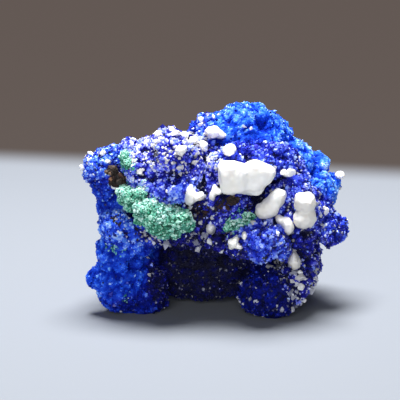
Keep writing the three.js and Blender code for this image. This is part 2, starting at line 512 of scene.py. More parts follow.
def bipyramid(sides: int, waist: float) -> Shell:
    """A closed crystal, one unit tall: a pyramid on each side of a regular polygon.

    Args:
        sides: Number of sides.
        waist: Height of the waist, from -0.5 at the lower tip to 0.5 at the upper.

    Returns:
        The crystal.
    """
    turn = 2 * np.pi * np.arange(sides) / sides
    ring = np.stack([np.cos(turn) / 2, np.sin(turn) / 2, np.full(sides, waist)], axis=1)
    places = np.vstack([ring, [(0, 0, 0.5), (0, 0, -0.5)]])
    here = np.arange(sides)
    after = (here + 1) % sides
    upper = np.stack([here, after, np.full(sides, sides)], axis=1)
    lower = np.stack([after, here, np.full(sides, sides + 1)], axis=1)
    return Shell(places, np.vstack([upper, lower]))


def ball(steps: int) -> Shell:
    """A ball one unit across, from a twenty-sided solid whose triangles are split in four a number of
    times."""
    golden = (1 + math.sqrt(5)) / 2
    corners = [(s * 1, t * golden) for s in (-1, 1) for t in (-1, 1)]
    places = np.array(
        [(0, a, b) for a, b in corners] + [(a, b, 0) for a, b in corners] + [(b, 0, a) for a, b in corners]
    )
    gaps = np.linalg.norm(places[:, None] - places[None], axis=2)
    near = (gaps > 0.1) & (gaps < 2.1)
    rising = [face for face in np.ndindex(12, 12, 12) if face[0] < face[1] < face[2]]
    faces = np.array([(a, b, c) for a, b, c in rising if near[a, b] and near[b, c] and near[a, c]])
    middle = places[faces].mean(axis=1)
    tilt = np.cross(places[faces[:, 1]] - places[faces[:, 0]], places[faces[:, 2]] - places[faces[:, 0]])
    inward = (tilt * middle).sum(axis=1) < 0
    faces[inward] = faces[inward][:, ::-1]
    for _ in range(steps):
        edges = np.sort(np.concatenate([faces[:, (0, 1)], faces[:, (1, 2)], faces[:, (2, 0)]]), axis=1)
        unique, which = np.unique(edges, axis=0, return_inverse=True)
        half = len(places) + which.reshape(3, -1)
        places = np.vstack([places, places[unique].mean(axis=1)])
        a, b, c = faces.T
        ab, bc, ca = half
        faces = np.concatenate(
            [np.stack(f, axis=1) for f in ((a, ab, ca), (ab, b, bc), (ca, bc, c), (ab, bc, ca))]
        )
    return Shell(places / np.linalg.norm(places, axis=1, keepdims=True) / 2, faces)


def dabbed(
    tint: Numbers, hue: Numbers, corners: int, rng: np.random.Generator, spread: float = 0.006
) -> Numbers:
    """Places on the palette for copies of a form. The corners of a copy differ a little, so that each
    face covers some of the palette.

    Args:
        tint: Each copy's tint.
        hue: Each copy's hue.
        corners: How many corners a copy has.
        rng: The random numbers.
        spread: How far a corner's tint and hue may be from its copy's.

    Returns:
        Each corner's tint and hue, within the palette.
    """
    palette = np.repeat(np.stack([tint, hue], axis=1), corners, axis=0)
    return np.clip(palette + rng.uniform(-spread, spread, palette.shape), 0.005, 0.995)


def gap_between(places: Numbers, others: Numbers, most: float) -> Numbers:
    """How far each point lies from the nearest of some others.

    Args:
        places: Points in millimetres.
        others: The others.
        most: The distance past which it makes no difference.

    Returns:
        The distances, at most the given one.
    """
    inside = np.all((others > places.min(axis=0) - most) & (others < places.max(axis=0) + most), axis=1)
    local = others[inside].astype(np.float32)
    portions = np.array_split(places.astype(np.float32), len(places) // 400 + 1)
    nearest = [
        ((part[:, None] - local[None]) ** 2).sum(axis=2).min(axis=1, initial=most**2) for part in portions
    ]
    return np.sqrt(np.concatenate(nearest)).astype(np.float64)


def chipped(lumps: Numbers, rng: np.random.Generator, cuts: int, depth: float, keep: float) -> Numbers:
    """Presses flat facets into lumps: past a plane near its furthest reach in a random direction, each
    lump is moved most of the way back to the plane.

    Args:
        lumps: The corners of each lump.
        rng: The random numbers.
        cuts: How many facets each lump gets.
        depth: How deep the deepest facet goes, as a share of the lump's width in its direction.
        keep: How much of what stands out past a plane stays.

    Returns:
        The corners, moved.
    """
    for _ in range(cuts):
        way = rng.normal(size=(len(lumps), 3))
        way /= np.linalg.norm(way, axis=1, keepdims=True)
        reach = np.einsum("nkc,nc->nk", lumps, way)
        low, high = reach.min(axis=1), reach.max(axis=1)
        plane = high - rng.uniform(0.2, 1.0, len(lumps)) * depth * (high - low)
        lumps = lumps - (1 - keep) * np.maximum(reach - plane[:, None], 0)[:, :, None] * way[:, None]
    return lumps


# --- Places on the specimen -----------------------------------------------------------------------


@dataclass(frozen=True)
class Character:
    """How a region of the azurite looks.

    Attributes:
        hue: Its place between azure at 0, royal blue in the middle and violet-blue at 1.
        tint: How light it is, from 0 to 1; in the recess and under the overhangs it is kept low as painted
            shade.
        coarse: How much of it is glittering crystals; the rest is velvety.
        frost: Share of its crystals that are pale or white.
        grit: Loose pale grains to a square millimetre.
        dusk: How grey those grains are: their own grey, and painted shade as well where the region lies in
            shade.
    """

    hue: float
    tint: float
    coarse: float
    frost: float
    grit: float
    dusk: float


class Region(Enum):
    """The azurite's regions: each has a middle and reach in millimetres, and a character."""

    CROWN = ((-6.6, -5.5, 24.0), (7.0, 6.5, 5.0), Character(0.86, 0.60, 1.00, 0.40, 0.30, 0.08))
    CROWN_LOW = ((-7.0, -9.0, 20.0), (5.0, 4.0, 3.5), Character(0.74, 0.74, 0.95, 0.32, 0.08, 0.15))
    VELVET_LOBE = ((-5.7, -11.2, 19.2), (2.0, 2.2, 2.6), Character(0.50, 0.86, 0.30, 0.03, 0.01, 0.30))
    LEFT_ARM = ((-17.0, -5.0, 23.4), (4.2, 5.5, 2.8), Character(0.38, 0.64, 0.65, 0.26, 0.05, 0.08))
    LEFT_ARM_LOW = ((-17.5, -4.0, 19.4), (3.0, 4.5, 2.8), Character(0.36, 0.46, 0.30, 0.02, 0.002, 0.20))
    LEFT_WALL = ((-15.5, -1.0, 16.0), (3.5, 5.0, 4.0), Character(0.24, 0.58, 0.10, 0.003, 0.00, 0.30))
    LEFT_SHIN = ((-14.1, -8.0, 13.8), (3.8, 4.0, 2.8), Character(0.28, 0.76, 0.50, 0.15, 0.01, 0.15))
    LEFT_FOOT = ((-14.0, -5.0, 6.5), (6.0, 6.5, 5.5), Character(0.14, 0.62, 0.08, 0.001, 0.0, 0.50))
    LEFT_FOOT_LOW = ((-12.0, -7.5, 2.0), (4.5, 4.5, 2.0), Character(0.36, 0.37, 0.30, 0.008, 0.012, 0.70))
    # FOOT_INSIDE is dark as painted shade on the side of the foot that faces the recess.
    FOOT_INSIDE = ((-8.3, -6.4, 5.6), (2.4, 4.5, 5.8), Character(0.80, 0.16, 0.70, 0.02, 0.07, 0.90))
    DOME = ((5.0, 3.0, 27.0), (7.5, 7.5, 5.5), Character(0.03, 0.80, 0.05, 0.004, 0.002, 0.10))
    DOME_LEFT = ((-1.5, 2.0, 27.0), (3.5, 5.0, 3.0), Character(0.32, 0.62, 0.50, 0.14, 0.12, 0.15))
    SLOPE = ((14.0, 4.5, 20.5), (5.5, 7.0, 7.0), Character(0.04, 0.81, 0.04, 0.002, 0.001, 0.20))
    BROW = ((6.5, -6.5, 24.0), (6.0, 4.5, 3.5), Character(0.66, 0.56, 0.90, 0.08, 0.01, 0.15))
    BROW_RIGHT = ((11.5, -6.0, 20.5), (3.5, 4.0, 3.5), Character(0.70, 0.55, 0.90, 0.22, 0.04, 0.20))
    FACE = ((0.5, -8.0, 16.5), (5.0, 5.0, 3.5), Character(0.86, 0.48, 0.95, 0.16, 0.08, 0.55))
    # FACE_LOW is dark as painted shade under the crust and the knob.
    FACE_LOW = ((-1.0, -7.0, 11.8), (6.0, 5.0, 2.6), Character(0.95, 0.22, 0.95, 0.05, 0.20, 0.85))
    RIGHT_FACE = ((14.0, -5.0, 15.0), (5.0, 5.5, 4.5), Character(0.78, 0.47, 0.95, 0.15, 0.16, 0.45))
    RIGHT_SIDE = ((16.5, -2.0, 13.0), (3.0, 4.5, 3.0), Character(0.60, 0.46, 0.85, 0.12, 0.20, 0.50))
    KNOB = ((7.0, -11.5, 12.8), (4.0, 3.6, 3.6), Character(0.60, 0.60, 0.95, 0.12, 0.01, 0.15))
    # KNOB_LEFT is dark as painted shade beside and under the knob.
    KNOB_LEFT = ((2.4, -11.0, 11.2), (2.0, 3.0, 1.9), Character(0.90, 0.22, 0.95, 0.06, 0.06, 0.60))
    RIGHT_STALK = ((14.4, -4.5, 10.0), (3.2, 5.0, 3.2), Character(0.86, 0.38, 0.95, 0.16, 0.05, 0.45))
    RIGHT_LEG = ((11.8, -6.5, 5.2), (2.9, 5.0, 2.9), Character(0.92, 0.28, 0.95, 0.18, 0.90, 0.50))
    FRINGE = ((-8.0, -10.0, 13.2), (4.6, 3.0, 1.0), Character(0.80, 0.30, 0.90, 0.10, 1.00, 0.55))
    # RIGHT_FOOT is dark as painted shade under the knob.
    RIGHT_FOOT = ((7.0, -7.5, 3.6), (5.0, 5.0, 4.2), Character(0.50, 0.22, 0.40, 0.02, 0.05, 0.80))
    # RECESS is dark, with grey grains, as painted shade in the recess between the feet.
    RECESS = ((-2.6, -3.5, 6.5), (6.0, 5.5, 6.0), Character(1.00, 0.11, 0.80, 0.01, 0.015, 1.00))
    BACK_TOP = ((-5.0, 8.0, 19.0), (10.0, 7.0, 7.0), Character(0.35, 0.58, 0.50, 0.06, 0.03, 0.20))
    BACK_MID = ((7.0, 13.0, 14.0), (8.0, 5.0, 5.0), Character(0.16, 0.60, 0.30, 0.04, 0.03, 0.20))
    BACK_LOW = ((-2.0, 9.0, 6.5), (14.0, 7.0, 6.0), Character(0.42, 0.50, 0.60, 0.04, 0.04, 0.40))

    @property
    def middle(self) -> Numbers:
        """The region's middle."""
        return np.array(self.value[0])

    @property
    def reach(self) -> Numbers:
        """The region's half-widths along X, Y and Z."""
        return np.array(self.value[1])

    @property
    def character(self) -> Character:
        """How the region looks."""
        return self.value[2]


def character_at(places: Numbers) -> dict[str, Numbers]:
    """Each property of the azurite's character, blended between the regions: a region's share falls with
    the tenth power of the distance to its middle, in reaches, after the borders are made ragged by noise.
    Softer noise then varies hue, tint, frost and grit.

    Args:
        places: Points in millimetres.

    Returns:
        The properties by name, one number per point.
    """
    ragged = bent(places, 1.1, 3.2, Seed.BORDERS)
    squares = [np.sum(((ragged - r.middle) / r.reach) ** 2, axis=1) for r in Region]
    shares = np.stack([1 / (0.05 + square) ** 5 for square in squares])
    shares /= shares.sum(axis=0)
    names = [part.name for part in fields(Character)]
    look = {name: shares.T @ np.array([getattr(r.character, name) for r in Region]) for name in names}
    look["hue"] = look["hue"] + 0.16 * cloudy(places, 2.6, Seed.HUES)
    look["tint"] = look["tint"] * (1 + 0.22 * cloudy(places, 1.3, Seed.TINTS))
    look["frost"] = look["frost"] * 2 * eased_step(cloudy(places, 2.8, Seed.FROST), -0.45, 0.45)
    look["grit"] = look["grit"] * (0.3 + 1.6 * eased_step(cloudy(places, 2.0, Seed.GRIT), -0.1, 0.5))
    return look


# --- Finishes -------------------------------------------------------------------------------------


def node_group(name: str, inputs: dict[str, float], outputs: dict[str, str]) -> bpy.types.NodeTree:
    """An empty shader node group with number inputs and the named outputs.

    Args:
        name: The group's name.
        inputs: Input names and their default values.
        outputs: Output names and their socket types.

    Returns:
        The group, with its Group Input and Group Output nodes.
    """
    group = bpy.data.node_groups.new(name, "ShaderNodeTree")
    for label, value in inputs.items():
        socket = group.interface.new_socket(name=label, in_out="INPUT", socket_type="NodeSocketFloat")
        socket.default_value = value
    for label, kind in outputs.items():
        group.interface.new_socket(name=label, in_out="OUTPUT", socket_type=kind)
    group.nodes.new("NodeGroupInput")
    group.nodes.new("NodeGroupOutput")
    return group


def colour_mix(nodes: bpy.types.Nodes) -> tuple[bpy.types.NodeSocket, ...]:
    """Adds a node that mixes two colours, and gives its share, first colour, second colour and result."""
    blend = nodes.new("ShaderNodeMix")
    blend.data_type = "RGBA"
    return blend.inputs[0], blend.inputs[6], blend.inputs[7], blend.outputs[2]


def fine_grain_group() -> bpy.types.NodeTree:
    """The surface of fine grains that all the minerals share: noise on Object coordinates, at a scale in
    waves to a metre, gives a roughness between two values and a bumped normal."""
    group = node_group(
        "fine_grain",
        {"Scale": 3000.0, "Smoothest": 0.3, "Roughest": 0.6, "Depth": 0.3},
        {"Roughness": "NodeSocketFloat", "Normal": "NodeSocketVector"},
    )
    nodes, links = group.nodes, group.links
    given, out = nodes["Group Input"], nodes["Group Output"]
    where = nodes.new("ShaderNodeTexCoord")
    noise = nodes.new("ShaderNodeTexNoise")
    noise.inputs["Detail"].default_value = 3.0
    spread = nodes.new("ShaderNodeMapRange")
    bump = nodes.new("ShaderNodeBump")
    bump.inputs["Distance"].default_value = 0.00005
    links.new(where.outputs["Object"], noise.inputs["Vector"])
    links.new(given.outputs["Scale"], noise.inputs["Scale"])
    links.new(noise.outputs["Fac"], spread.inputs["Value"])
    links.new(given.outputs["Smoothest"], spread.inputs["To Min"])
    links.new(given.outputs["Roughest"], spread.inputs["To Max"])
    links.new(given.outputs["Depth"], bump.inputs["Strength"])
    links.new(noise.outputs["Fac"], bump.inputs["Height"])
    links.new(spread.outputs["Result"], out.inputs["Roughness"])
    links.new(bump.outputs["Normal"], out.inputs["Normal"])
    return group


@dataclass(frozen=True)
class Finish:
    """A mineral's finish: two colour ramps along the palette's tint, mixed along its hue, and a grain.

    Attributes:
        name: The material's name.
        first: The ramp at hue 0, as stops of tint and colour.
        second: The ramp at hue 1.
        smoothest: Lowest roughness.
        roughest: Highest roughness.
        scale: Grains to a metre.
        depth: Strength of the grain's bump.
        gloss: Strength of the reflections, of which 0.5 is usual.
        under: Share of light that scatters under the surface.
    """

    name: str
    first: Ramp
    second: Ramp
    smoothest: float
    roughest: float
    scale: float = 3000.0
    depth: float = 0.3
    gloss: float = 0.5
    under: float = 0.0

    def material(self, grain: bpy.types.NodeTree) -> bpy.types.Material:
        """Builds the material.

        Args:
            grain: The shared fine grain group.

        Returns:
            The material.
        """
        material = bpy.data.materials.new(self.name)
        material.use_nodes = True
        nodes, links = material.node_tree.nodes, material.node_tree.links
        shader = nodes["Principled BSDF"]
        place = nodes.new("ShaderNodeUVMap")
        place.uv_map = PALETTE_MAP
        split = nodes.new("ShaderNodeSeparateXYZ")
        share, first, second, mixed = colour_mix(nodes)
        links.new(place.outputs["UV"], split.inputs["Vector"])
        links.new(split.outputs["Y"], share)
        for stops, socket in ((self.first, first), (self.second, second)):
            ramp = nodes.new("ShaderNodeValToRGB")
            elements = ramp.color_ramp.elements
            elements[0].position, elements[1].position = stops[0][0], stops[-1][0]
            for position, _ in stops[1:-1]:
                elements.new(position)
            for element, (_, colour) in zip(elements, stops, strict=True):
                element.color = (*colour, 1)
            links.new(split.outputs["X"], ramp.inputs["Fac"])
            links.new(ramp.outputs["Color"], socket)
        links.new(mixed, shader.inputs["Base Color"])
        surface = nodes.new("ShaderNodeGroup")
        surface.node_tree = grain
        for label in ("Scale", "Smoothest", "Roughest", "Depth"):
            surface.inputs[label].default_value = getattr(self, label.lower())
        for label in ("Roughness", "Normal"):
            links.new(surface.outputs[label], shader.inputs[label])
        shader.inputs["Specular IOR Level"].default_value = self.gloss
        if self.under:
            shader.inputs["Subsurface Weight"].default_value = self.under
            shader.inputs["Subsurface Scale"].default_value = 0.001
            shader.inputs["Subsurface Radius"].default_value = (1.0, 0.9, 0.75)
        return material


AZURE_RAMP: Ramp = (
    (0.0, (0.0008, 0.001, 0.010)),
    (0.12, (0.0005, 0.004, 0.09)),
    (0.3, (0.0008, 0.017, 0.40)),
    (0.6, (0.013, 0.115, 0.88)),
    (0.85, (0.12, 0.40, 1.0)),
    (1.0, (0.80, 0.90, 0.98)),
)
VIOLET_RAMP: Ramp = (
    (0.0, (0.012, 0.012, 0.022)),
    (0.12, (0.008, 0.009, 0.060)),
    (0.3, (0.007, 0.006, 0.24)),
    (0.6, (0.052, 0.046, 0.70)),
    (0.85, (0.24, 0.27, 0.97)),
    (1.0, (0.90, 0.94, 1.0)),
)
DRUSE = Finish("azurite_druse", AZURE_RAMP, VIOLET_RAMP, 0.15, 0.38, scale=5000.0, depth=0.1, gloss=0.35)
VELVET = Finish("azurite_velvet", AZURE_RAMP, VIOLET_RAMP, 0.65, 0.9, scale=6000.0, depth=0.5, gloss=0.08)
WHITE_RAMP: Ramp = (
    (0.0, (0.40, 0.385, 0.365)),
    (0.35, (0.74, 0.71, 0.655)),
    (0.7, (0.94, 0.915, 0.85)),
    (1.0, (0.985, 0.975, 0.94)),
)
GREY_RAMP: Ramp = (
    (0.0, (0.02, 0.02, 0.035)),
    (0.35, (0.10, 0.11, 0.18)),
    (0.7, (0.32, 0.34, 0.46)),
    (1.0, (0.80, 0.83, 0.92)),
)
WHITE = Finish("white_mineral", WHITE_RAMP, GREY_RAMP, 0.3, 0.5, scale=1800.0, depth=0.2, under=0.3)
MALACHITE_PALE: Ramp = (
    (0.0, (0.006, 0.07, 0.05)),
    (0.35, (0.05, 0.30, 0.23)),
    (0.7, (0.27, 0.68, 0.58)),
    (1.0, (0.74, 0.95, 0.90)),
)
MALACHITE_DEEP: Ramp = (
    (0.0, (0.002, 0.03, 0.02)),
    (0.35, (0.015, 0.20, 0.11)),
    (0.7, (0.09, 0.50, 0.33)),
    (1.0, (0.45, 0.85, 0.68)),
)
MALACHITE = Finish("malachite", MALACHITE_PALE, MALACHITE_DEEP, 0.5, 0.8, scale=4000.0, depth=0.4)
LIMONITE_BROWN: Ramp = (
    (0.0, (0.005, 0.004, 0.004)),
    (0.5, (0.030, 0.017, 0.013)),
    (1.0, (0.34, 0.24, 0.16)),
)
LIMONITE_RUST: Ramp = (
    (0.0, (0.008, 0.004, 0.004)),
    (0.5, (0.060, 0.018, 0.012)),
    (1.0, (0.36, 0.17, 0.09)),
)
LIMONITE = Finish("limonite", LIMONITE_BROWN, LIMONITE_RUST, 0.6, 0.95, scale=3500.0, depth=0.5)


# --- The azurite ----------------------------------------------------------------------------------


@dataclass(frozen=True)
class Dent:
    """A pit pressed into the azurite, darkened with painted shade if it is deep, or a swelling.

    Attributes:
        spot: Its middle on the surface, in millimetres.
        reach: Its half-width.
        depth: How deep it goes; below 0, how far a swelling stands out.
    """

    spot: Spot
    reach: float
    depth: float

    def share(self, places: Numbers) -> Numbers:
        """How far points are in the dent, from 1 in its middle to 0 outside, along a bell curve."""
        return np.exp(-np.sum((places - self.spot) ** 2, axis=1) / self.reach**2)


# Dents deeper than this also get painted shade, darker inside them.
SHADED_DENT = 0.55
DENTS = (
    Dent((7.3, -1.0, 27.9), 1.8, 1.0),
    Dent((-11.5, -8.0, 9.1), 0.7, 1.1),
    Dent((-12.2, -8.1, 8.6), 0.8, 1.2),
    Dent((-12.9, -8.2, 8.0), 0.7, 0.9),
    Dent((-12.6, -9.0, 4.6), 1.3, 0.5),
    Dent((-3.0, -9.6, 16.4), 1.7, 1.4),
    Dent((0.8, -10.1, 17.9), 1.2, 0.8),
    Dent((5.2, -7.8, 16.8), 1.0, 0.4),
    Dent((12.3, -8.2, 10.0), 1.2, 1.4),
    Dent((4.8, -9.5, 24.3), 0.9, 1.1),
    Dent((-13.6, -6.0, 19.4), 1.4, 1.0),
    Dent((-3.0, 3.0, 28.2), 1.7, 0.5),
    Dent((-5.0, -4.0, 27.8), 2.2, 0.6),
    Dent((10.6, -10.4, 12.4), 1.5, 1.1),
    Dent((-12.9, -4.6, 24.4), 2.0, -1.3),
    Dent((-18.0, -2.0, 17.4), 2.0, -0.7),
    Dent((9.6, 0.0, 24.6), 1.4, 0.8),
    Dent((10.6, -0.6, 22.9), 1.2, 0.8),
)


@dataclass(frozen=True)
class Sowing:
    """How a kind of crystal is sown over the azurite.

    Attributes:
        name: The pieces' name, before their number.
        sides: How many sides a crystal has.
        count: How many crystals.
        width: Their usual width in millimetres.
        spread: How much their widths differ, as the deviation of a width's logarithm.
        build: Their two widths and length, in widths.
        lean: How far they lean from the surface's normal.
        tints: How much their tints differ, as a share of the tint.
        hues: How much their hues differ.
        seed: Seed of the random draws.
    """

    name: str
    sides: int
    count: int
    width: float
    spread: float
    build: tuple[float, float, float]
    lean: float
    tints: float
    hues: float
    seed: Seed


DRUSE_SOWING = Sowing(
    "azurite_druse", 4, 38000, 0.36, 0.34, (1.0, 0.8, 1.1), lean=0.55, tints=0.44, hues=0.12,
    seed=Seed.DRUSE,
)
VELVET_SOWING = Sowing(
    "azurite_velvet", 3, 36000, 0.26, 0.25, (1.0, 1.0, 1.05), lean=0.45, tints=0.12, hues=0.07,
    seed=Seed.VELVET,
)


@dataclass
class Spots:
    """Places for small forms on a surface.

    Attributes:
        places: The places, in millimetres.
        normals: The surface's unit normals there.
        relief: How far each stands out of the hollows, from 0 to 1, which sets their painted shade.
    """

    places: Numbers
    normals: Numbers
    relief: Numbers

    @cached_property
    def look(self) -> dict[str, Numbers]:
        """The azurite's character at the places."""
        return character_at(self.places)

    def some(self, which: Indices) -> Spots:
        """The spots with the given numbers."""
        return Spots(self.places[which], self.normals[which], self.relief[which])


@dataclass
class Azurite:
    """The azurite mass and the druse of micro-crystals on it.

    Attributes:
        voxel: Width of the base surface's grid, in millimetres.
        smoothing: How many times its corners are averaged.
        lobe: Width and height of the larger growth knobs.
        knob: Width and height of the smaller knobs on them.
        bud: Width and height of the smallest.
        level: Height of a knob at which the surface stays where it is.
        pit: Width and depth of the scattered pits.
        crease: How much deeper the creases between lobes are cut.
        tuck: Height under which the feet draw in towards the ground, and how far.
        bare: Height under which nothing is sown.
        rear: Where sowing starts to thin out along Y, and where it is thinnest.
        thinned: Share of the crystals that are left out there.
        batch: Most crystals in one piece.
        shell: The base surface.
        relief: Each of its corners' height over its crease, from 0 in hollows to 1 on tops, which sets its
            painted shade.
        plain: Its corners before it is grown.
    """

    voxel: float = 0.28
    smoothing: int = 7
    lobe: Pair = (3.4, 0.9)
    knob: Pair = (1.7, 0.75)
    bud: Pair = (0.85, 0.42)
    level: float = 0.65
    pit: Pair = (2.2, 0.9)
    crease: float = 0.9
    tuck: Pair = (1.4, 0.7)
    bare: float = 0.15
    rear: Pair = (2.0, 8.0)
    thinned: float = 0.35
    batch: int = 23000
    shell: Shell = field(init=False)
    relief: Numbers = field(init=False)
    plain: Numbers = field(init=False)

    def __post_init__(self) -> None:
        """Grows the base surface from the CAD node."""
        self.shell = grown_from("azurite_mass", self.voxel, self.smoothing)
        self.plain = self.shell.places
        self.relief = self.grow()

    def grow(self) -> Numbers:
        """Moves the base surface along its normals and draws the feet in towards the ground. Nothing goes
        below the ground.

        Returns:
            Each corner's height over its crease, from 0 in hollows to 1 on tops, for its painted shade.
        """
        places = self.shell.places
        twisted = bent(places, 0.8, 2.4, Seed.BENDS)
        pits = eased_step(cloudy(twisted, self.pit[0], Seed.PITS), 0.3, 0.7)
        height, dent_shade = self.heights(twisted, pits)
        normals = self.shell.normals()
        self.shell.places = places + height[:, None] * normals
        low = eased_step(self.tuck[0] - places[:, 2], 0.0, self.tuck[0])
        self.shell.places[:, :2] -= self.tuck[1] * low[:, None] * normals[:, :2]
        self.shell.places[:, 2] = np.maximum(self.shell.places[:, 2], 0.0)
        fine = self.shell.hollows(6)
        wide = self.shell.hollows(40)
        # The relief is painted shade: hollows, pits, creases between knobs and deep dents come out darker.
        relief = np.clip(0.66 - 2.2 * fine - 0.9 * wide - 0.25 * pits, 0.0, 1.0)
        relief *= 0.45 + 0.55 * clear_of_creases(twisted, self.knob[0], Seed.KNOBS)
        relief *= 0.5 + 0.5 * clear_of_creases(twisted, self.bud[0], Seed.BUDS)
        return relief * (1 - 0.85 * dent_shade)

    def heights(self, twisted: Numbers, pits: Numbers) -> tuple[Numbers, Numbers]:
        """How far the base surface moves: out by knobs of three sizes, and in by scattered pits, by
        deeper creases between its lobes and by the dents.

        Args:
            twisted: Its corners, bent by noise so that no lattice shows.
            pits: How far each corner is in a pit.

        Returns:
            Millimetres per corner, and how far each corner is in a deep dent, which gets painted shade.
        """
        sizes = ((self.lobe, Seed.LOBES), (self.knob, Seed.KNOBS), (self.bud, Seed.BUDS))
        height = sum(rise * (knobs(twisted, wave, seed) - self.level) for (wave, rise), seed in sizes)
        height -= self.pit[1] * pits + self.crease * np.clip(self.shell.hollows(50), 0, 0.7)
        dent_shade = np.zeros(len(height))
        ragged = bent(self.shell.places, 0.7, 1.2, Seed.DENT_EDGES)
        for dent in DENTS:
            share = dent.share(ragged)
            height -= dent.depth * share
            # Deep dents are also darkened: painted shade.
            if dent.depth > SHADED_DENT:
                dent_shade = np.maximum(dent_shade, share)
        return height, dent_shade

    def body(self, finish: bpy.types.Material) -> bpy.types.Object:
        """The base surface, with painted shade in its creases and hollows.

        Args:
            finish: The velvet material.

        Returns:
            The piece, which stands for the CAD node.
        """
        look = character_at(self.shell.places)
        # Tint times the painted shade of the relief.
        tint = 0.85 * look["tint"] * self.shade(look["coarse"], self.relief)
        palette = np.stack([np.clip(tint, 0.01, 0.95), np.clip(look["hue"], 0.01, 0.99)], axis=1)
        name, node = "azurite_body", "azurite_mass"
        return new_piece(name, self.shell, finish, palette, smooth=True, replaces=(node,))

    @staticmethod
    def shade(coarse: Numbers, relief: Numbers) -> Numbers:
        """How much of its tint the azurite keeps, as painted shade: less in hollows, above all where it is
        coarse.
        """
        return coarse * (0.12 + 1.5 * relief) + (1 - coarse) * (0.45 + 0.85 * relief)

    def rooted(
        self, count: int, liking: Callable[[dict[str, Numbers]], Numbers], rng: np.random.Generator
    ) -> Spots:
        """Picks places on the base surface at random, more where there is more area that the kind likes,
        and about a third fewer at the back.

        Args:
            count: How many to pick.
            liking: Gives each face's weight from its character.
            rng: The random numbers.

        Returns:
            The places.
        """
        corners = self.shell.places[self.shell.faces]
        weight = self.shell.areas() * liking(character_at(corners.mean(axis=1)))
        weight *= corners[:, :, 2].min(axis=1) > self.bare
        weight *= 1 - self.thinned * eased_step(corners[:, :, 1].mean(axis=1), *self.rear)
        chosen = rng.choice(len(weight), count, p=weight / weight.sum())
        share = rng.dirichlet((1, 1, 1, 1), count)
        faces = self.shell.faces[chosen]
        normals = np.einsum("nk,nkc->nc", share, self.shell.normals()[faces])
        normals /= np.linalg.norm(normals, axis=1, keepdims=True)
        places = np.einsum("nk,nkc->nc", share, corners[chosen])
        return Spots(places, normals, (share * self.relief[faces]).sum(axis=1))

    def nearest(self, spots: Numbers) -> tuple[Numbers, Numbers]:
        """The base surface's corners nearest to some points.

        Args:
            spots: The points, in millimetres.

        Returns:
            The corners' places and normals.
        """
        local = self.shell.places.astype(np.float32)
        portions = np.array_split(spots.astype(np.float32), len(spots) // 20 + 1)
        found = [((part[:, None] - local[None]) ** 2).sum(axis=2).argmin(axis=1) for part in portions]
        index = np.concatenate(found)
        return self.shell.places[index], self.shell.normals()[index]

    def around(self, patches: Patches, rng: np.random.Generator) -> Spots:
        """Scatters places over patches of the base surface.

        Args:
            patches: Each patch's middle, how many places it gets and its reach, in millimetres.
            rng: The random numbers.

        Returns:
            The places.
        """
        counts = [count for _, count, _ in patches]
        middles = np.repeat([spot for spot, _, _ in patches], counts, axis=0)
        reach = np.repeat([reach for _, _, reach in patches], counts)
        places, normals = self.nearest(middles + reach[:, None] * rng.normal(0, 0.6, middles.shape))
        return Spots(places, normals, np.full(len(places), 0.5))

    def druse(self, finish: bpy.types.Material) -> list[bpy.types.Object]:
        """The glittering crystals: blunt bipyramids of mixed widths, half sunk in the surface. Pale ones
        stand for pale crystals where the region is frosted, and they gather on the tops of the knobs and on
        upward faces as painted highlights.

        Args:
            finish: The druse material.

        Returns:
            The pieces, each a batch of crystals.
        """
        sowing = DRUSE_SOWING
        rng = np.random.default_rng(sowing.seed)
        spots = self.rooted(sowing.count, lambda look: look["coarse"] + 0.05, rng)
        upward = spots.normals[:, 2]
        # Pale crystals are likelier on high relief and on upward faces: painted highlights on top of the
        # real frost.
        chance = 0.88 * spots.look["frost"] * (0.25 + 1.4 * spots.relief) * (0.8 + 0.45 * upward)
        pale = rng.random(sowing.count) < chance
        bright = 0.77 + 0.23 * rng.beta(1.0, 1.2, sowing.count)
        return self.sown(sowing, spots, np.where(pale, bright, 0.0), finish, rng)

    def velvet(self, finish: bpy.types.Material) -> list[bpy.types.Object]:
        """The velvety crystals: small blunt bipyramids close together.

        Args:
            finish: The velvet material.

        Returns:
            The pieces, each a batch of crystals.
        """
        sowing = VELVET_SOWING
        rng = np.random.default_rng(sowing.seed)
        spots = self.rooted(sowing.count, lambda look: 1.15 - look["coarse"], rng)
        return self.sown(sowing, spots, np.zeros(sowing.count), finish, rng)

    def sown(
        self,
        sowing: Sowing,
        spots: Spots,
        least: Numbers,
        finish: bpy.types.Material,
        rng: np.random.Generator,
    ) -> list[bpy.types.Object]:
        """Plants crystals in batches, each crystal in about one tint, with painted shade in hollows.

        Args:
            sowing: How they are sown.
            spots: Where they stand.
            least: The lowest tint that each may have.
            finish: What they wear.
            rng: The random numbers.

        Returns:
            The pieces.
        """
        form = bipyramid(sowing.sides, 0.1)
        axes = leaning_axes(spots.normals, sowing.lean, rng)
        width = sowing.width * rng.lognormal(0.0, sowing.spread, sowing.count)
        sizes = width[:, None] * np.array(sowing.build) * rng.uniform(0.75, 1.3, (sowing.count, 3))
        # Darker in hollows: painted shade.
        tint = spots.look["tint"] * self.shade(spots.look["coarse"], spots.relief)
        tint = tint * (1 + sowing.tints * rng.normal(size=sowing.count))
        tint = np.maximum(np.clip(tint, 0.02, 0.88), least)
        hue = np.clip(spots.look["hue"] + rng.normal(0, sowing.hues, sowing.count), 0.02, 0.98)
        palette = dabbed(tint, hue, len(form.places), rng).reshape(sowing.count, -1, 2)
        pieces = []
        for number, start in enumerate(range(0, sowing.count, self.batch), 1):
            part = slice(start, start + self.batch)
            shell = planted(form, spots.places[part], axes[part], sizes[part])
            name = f"{sowing.name}_{number}"
            pieces.append(new_piece(name, shell, finish, palette[part].reshape(-1, 2)))
        return pieces


# --- The other minerals ---------------------------------------------------------------------------


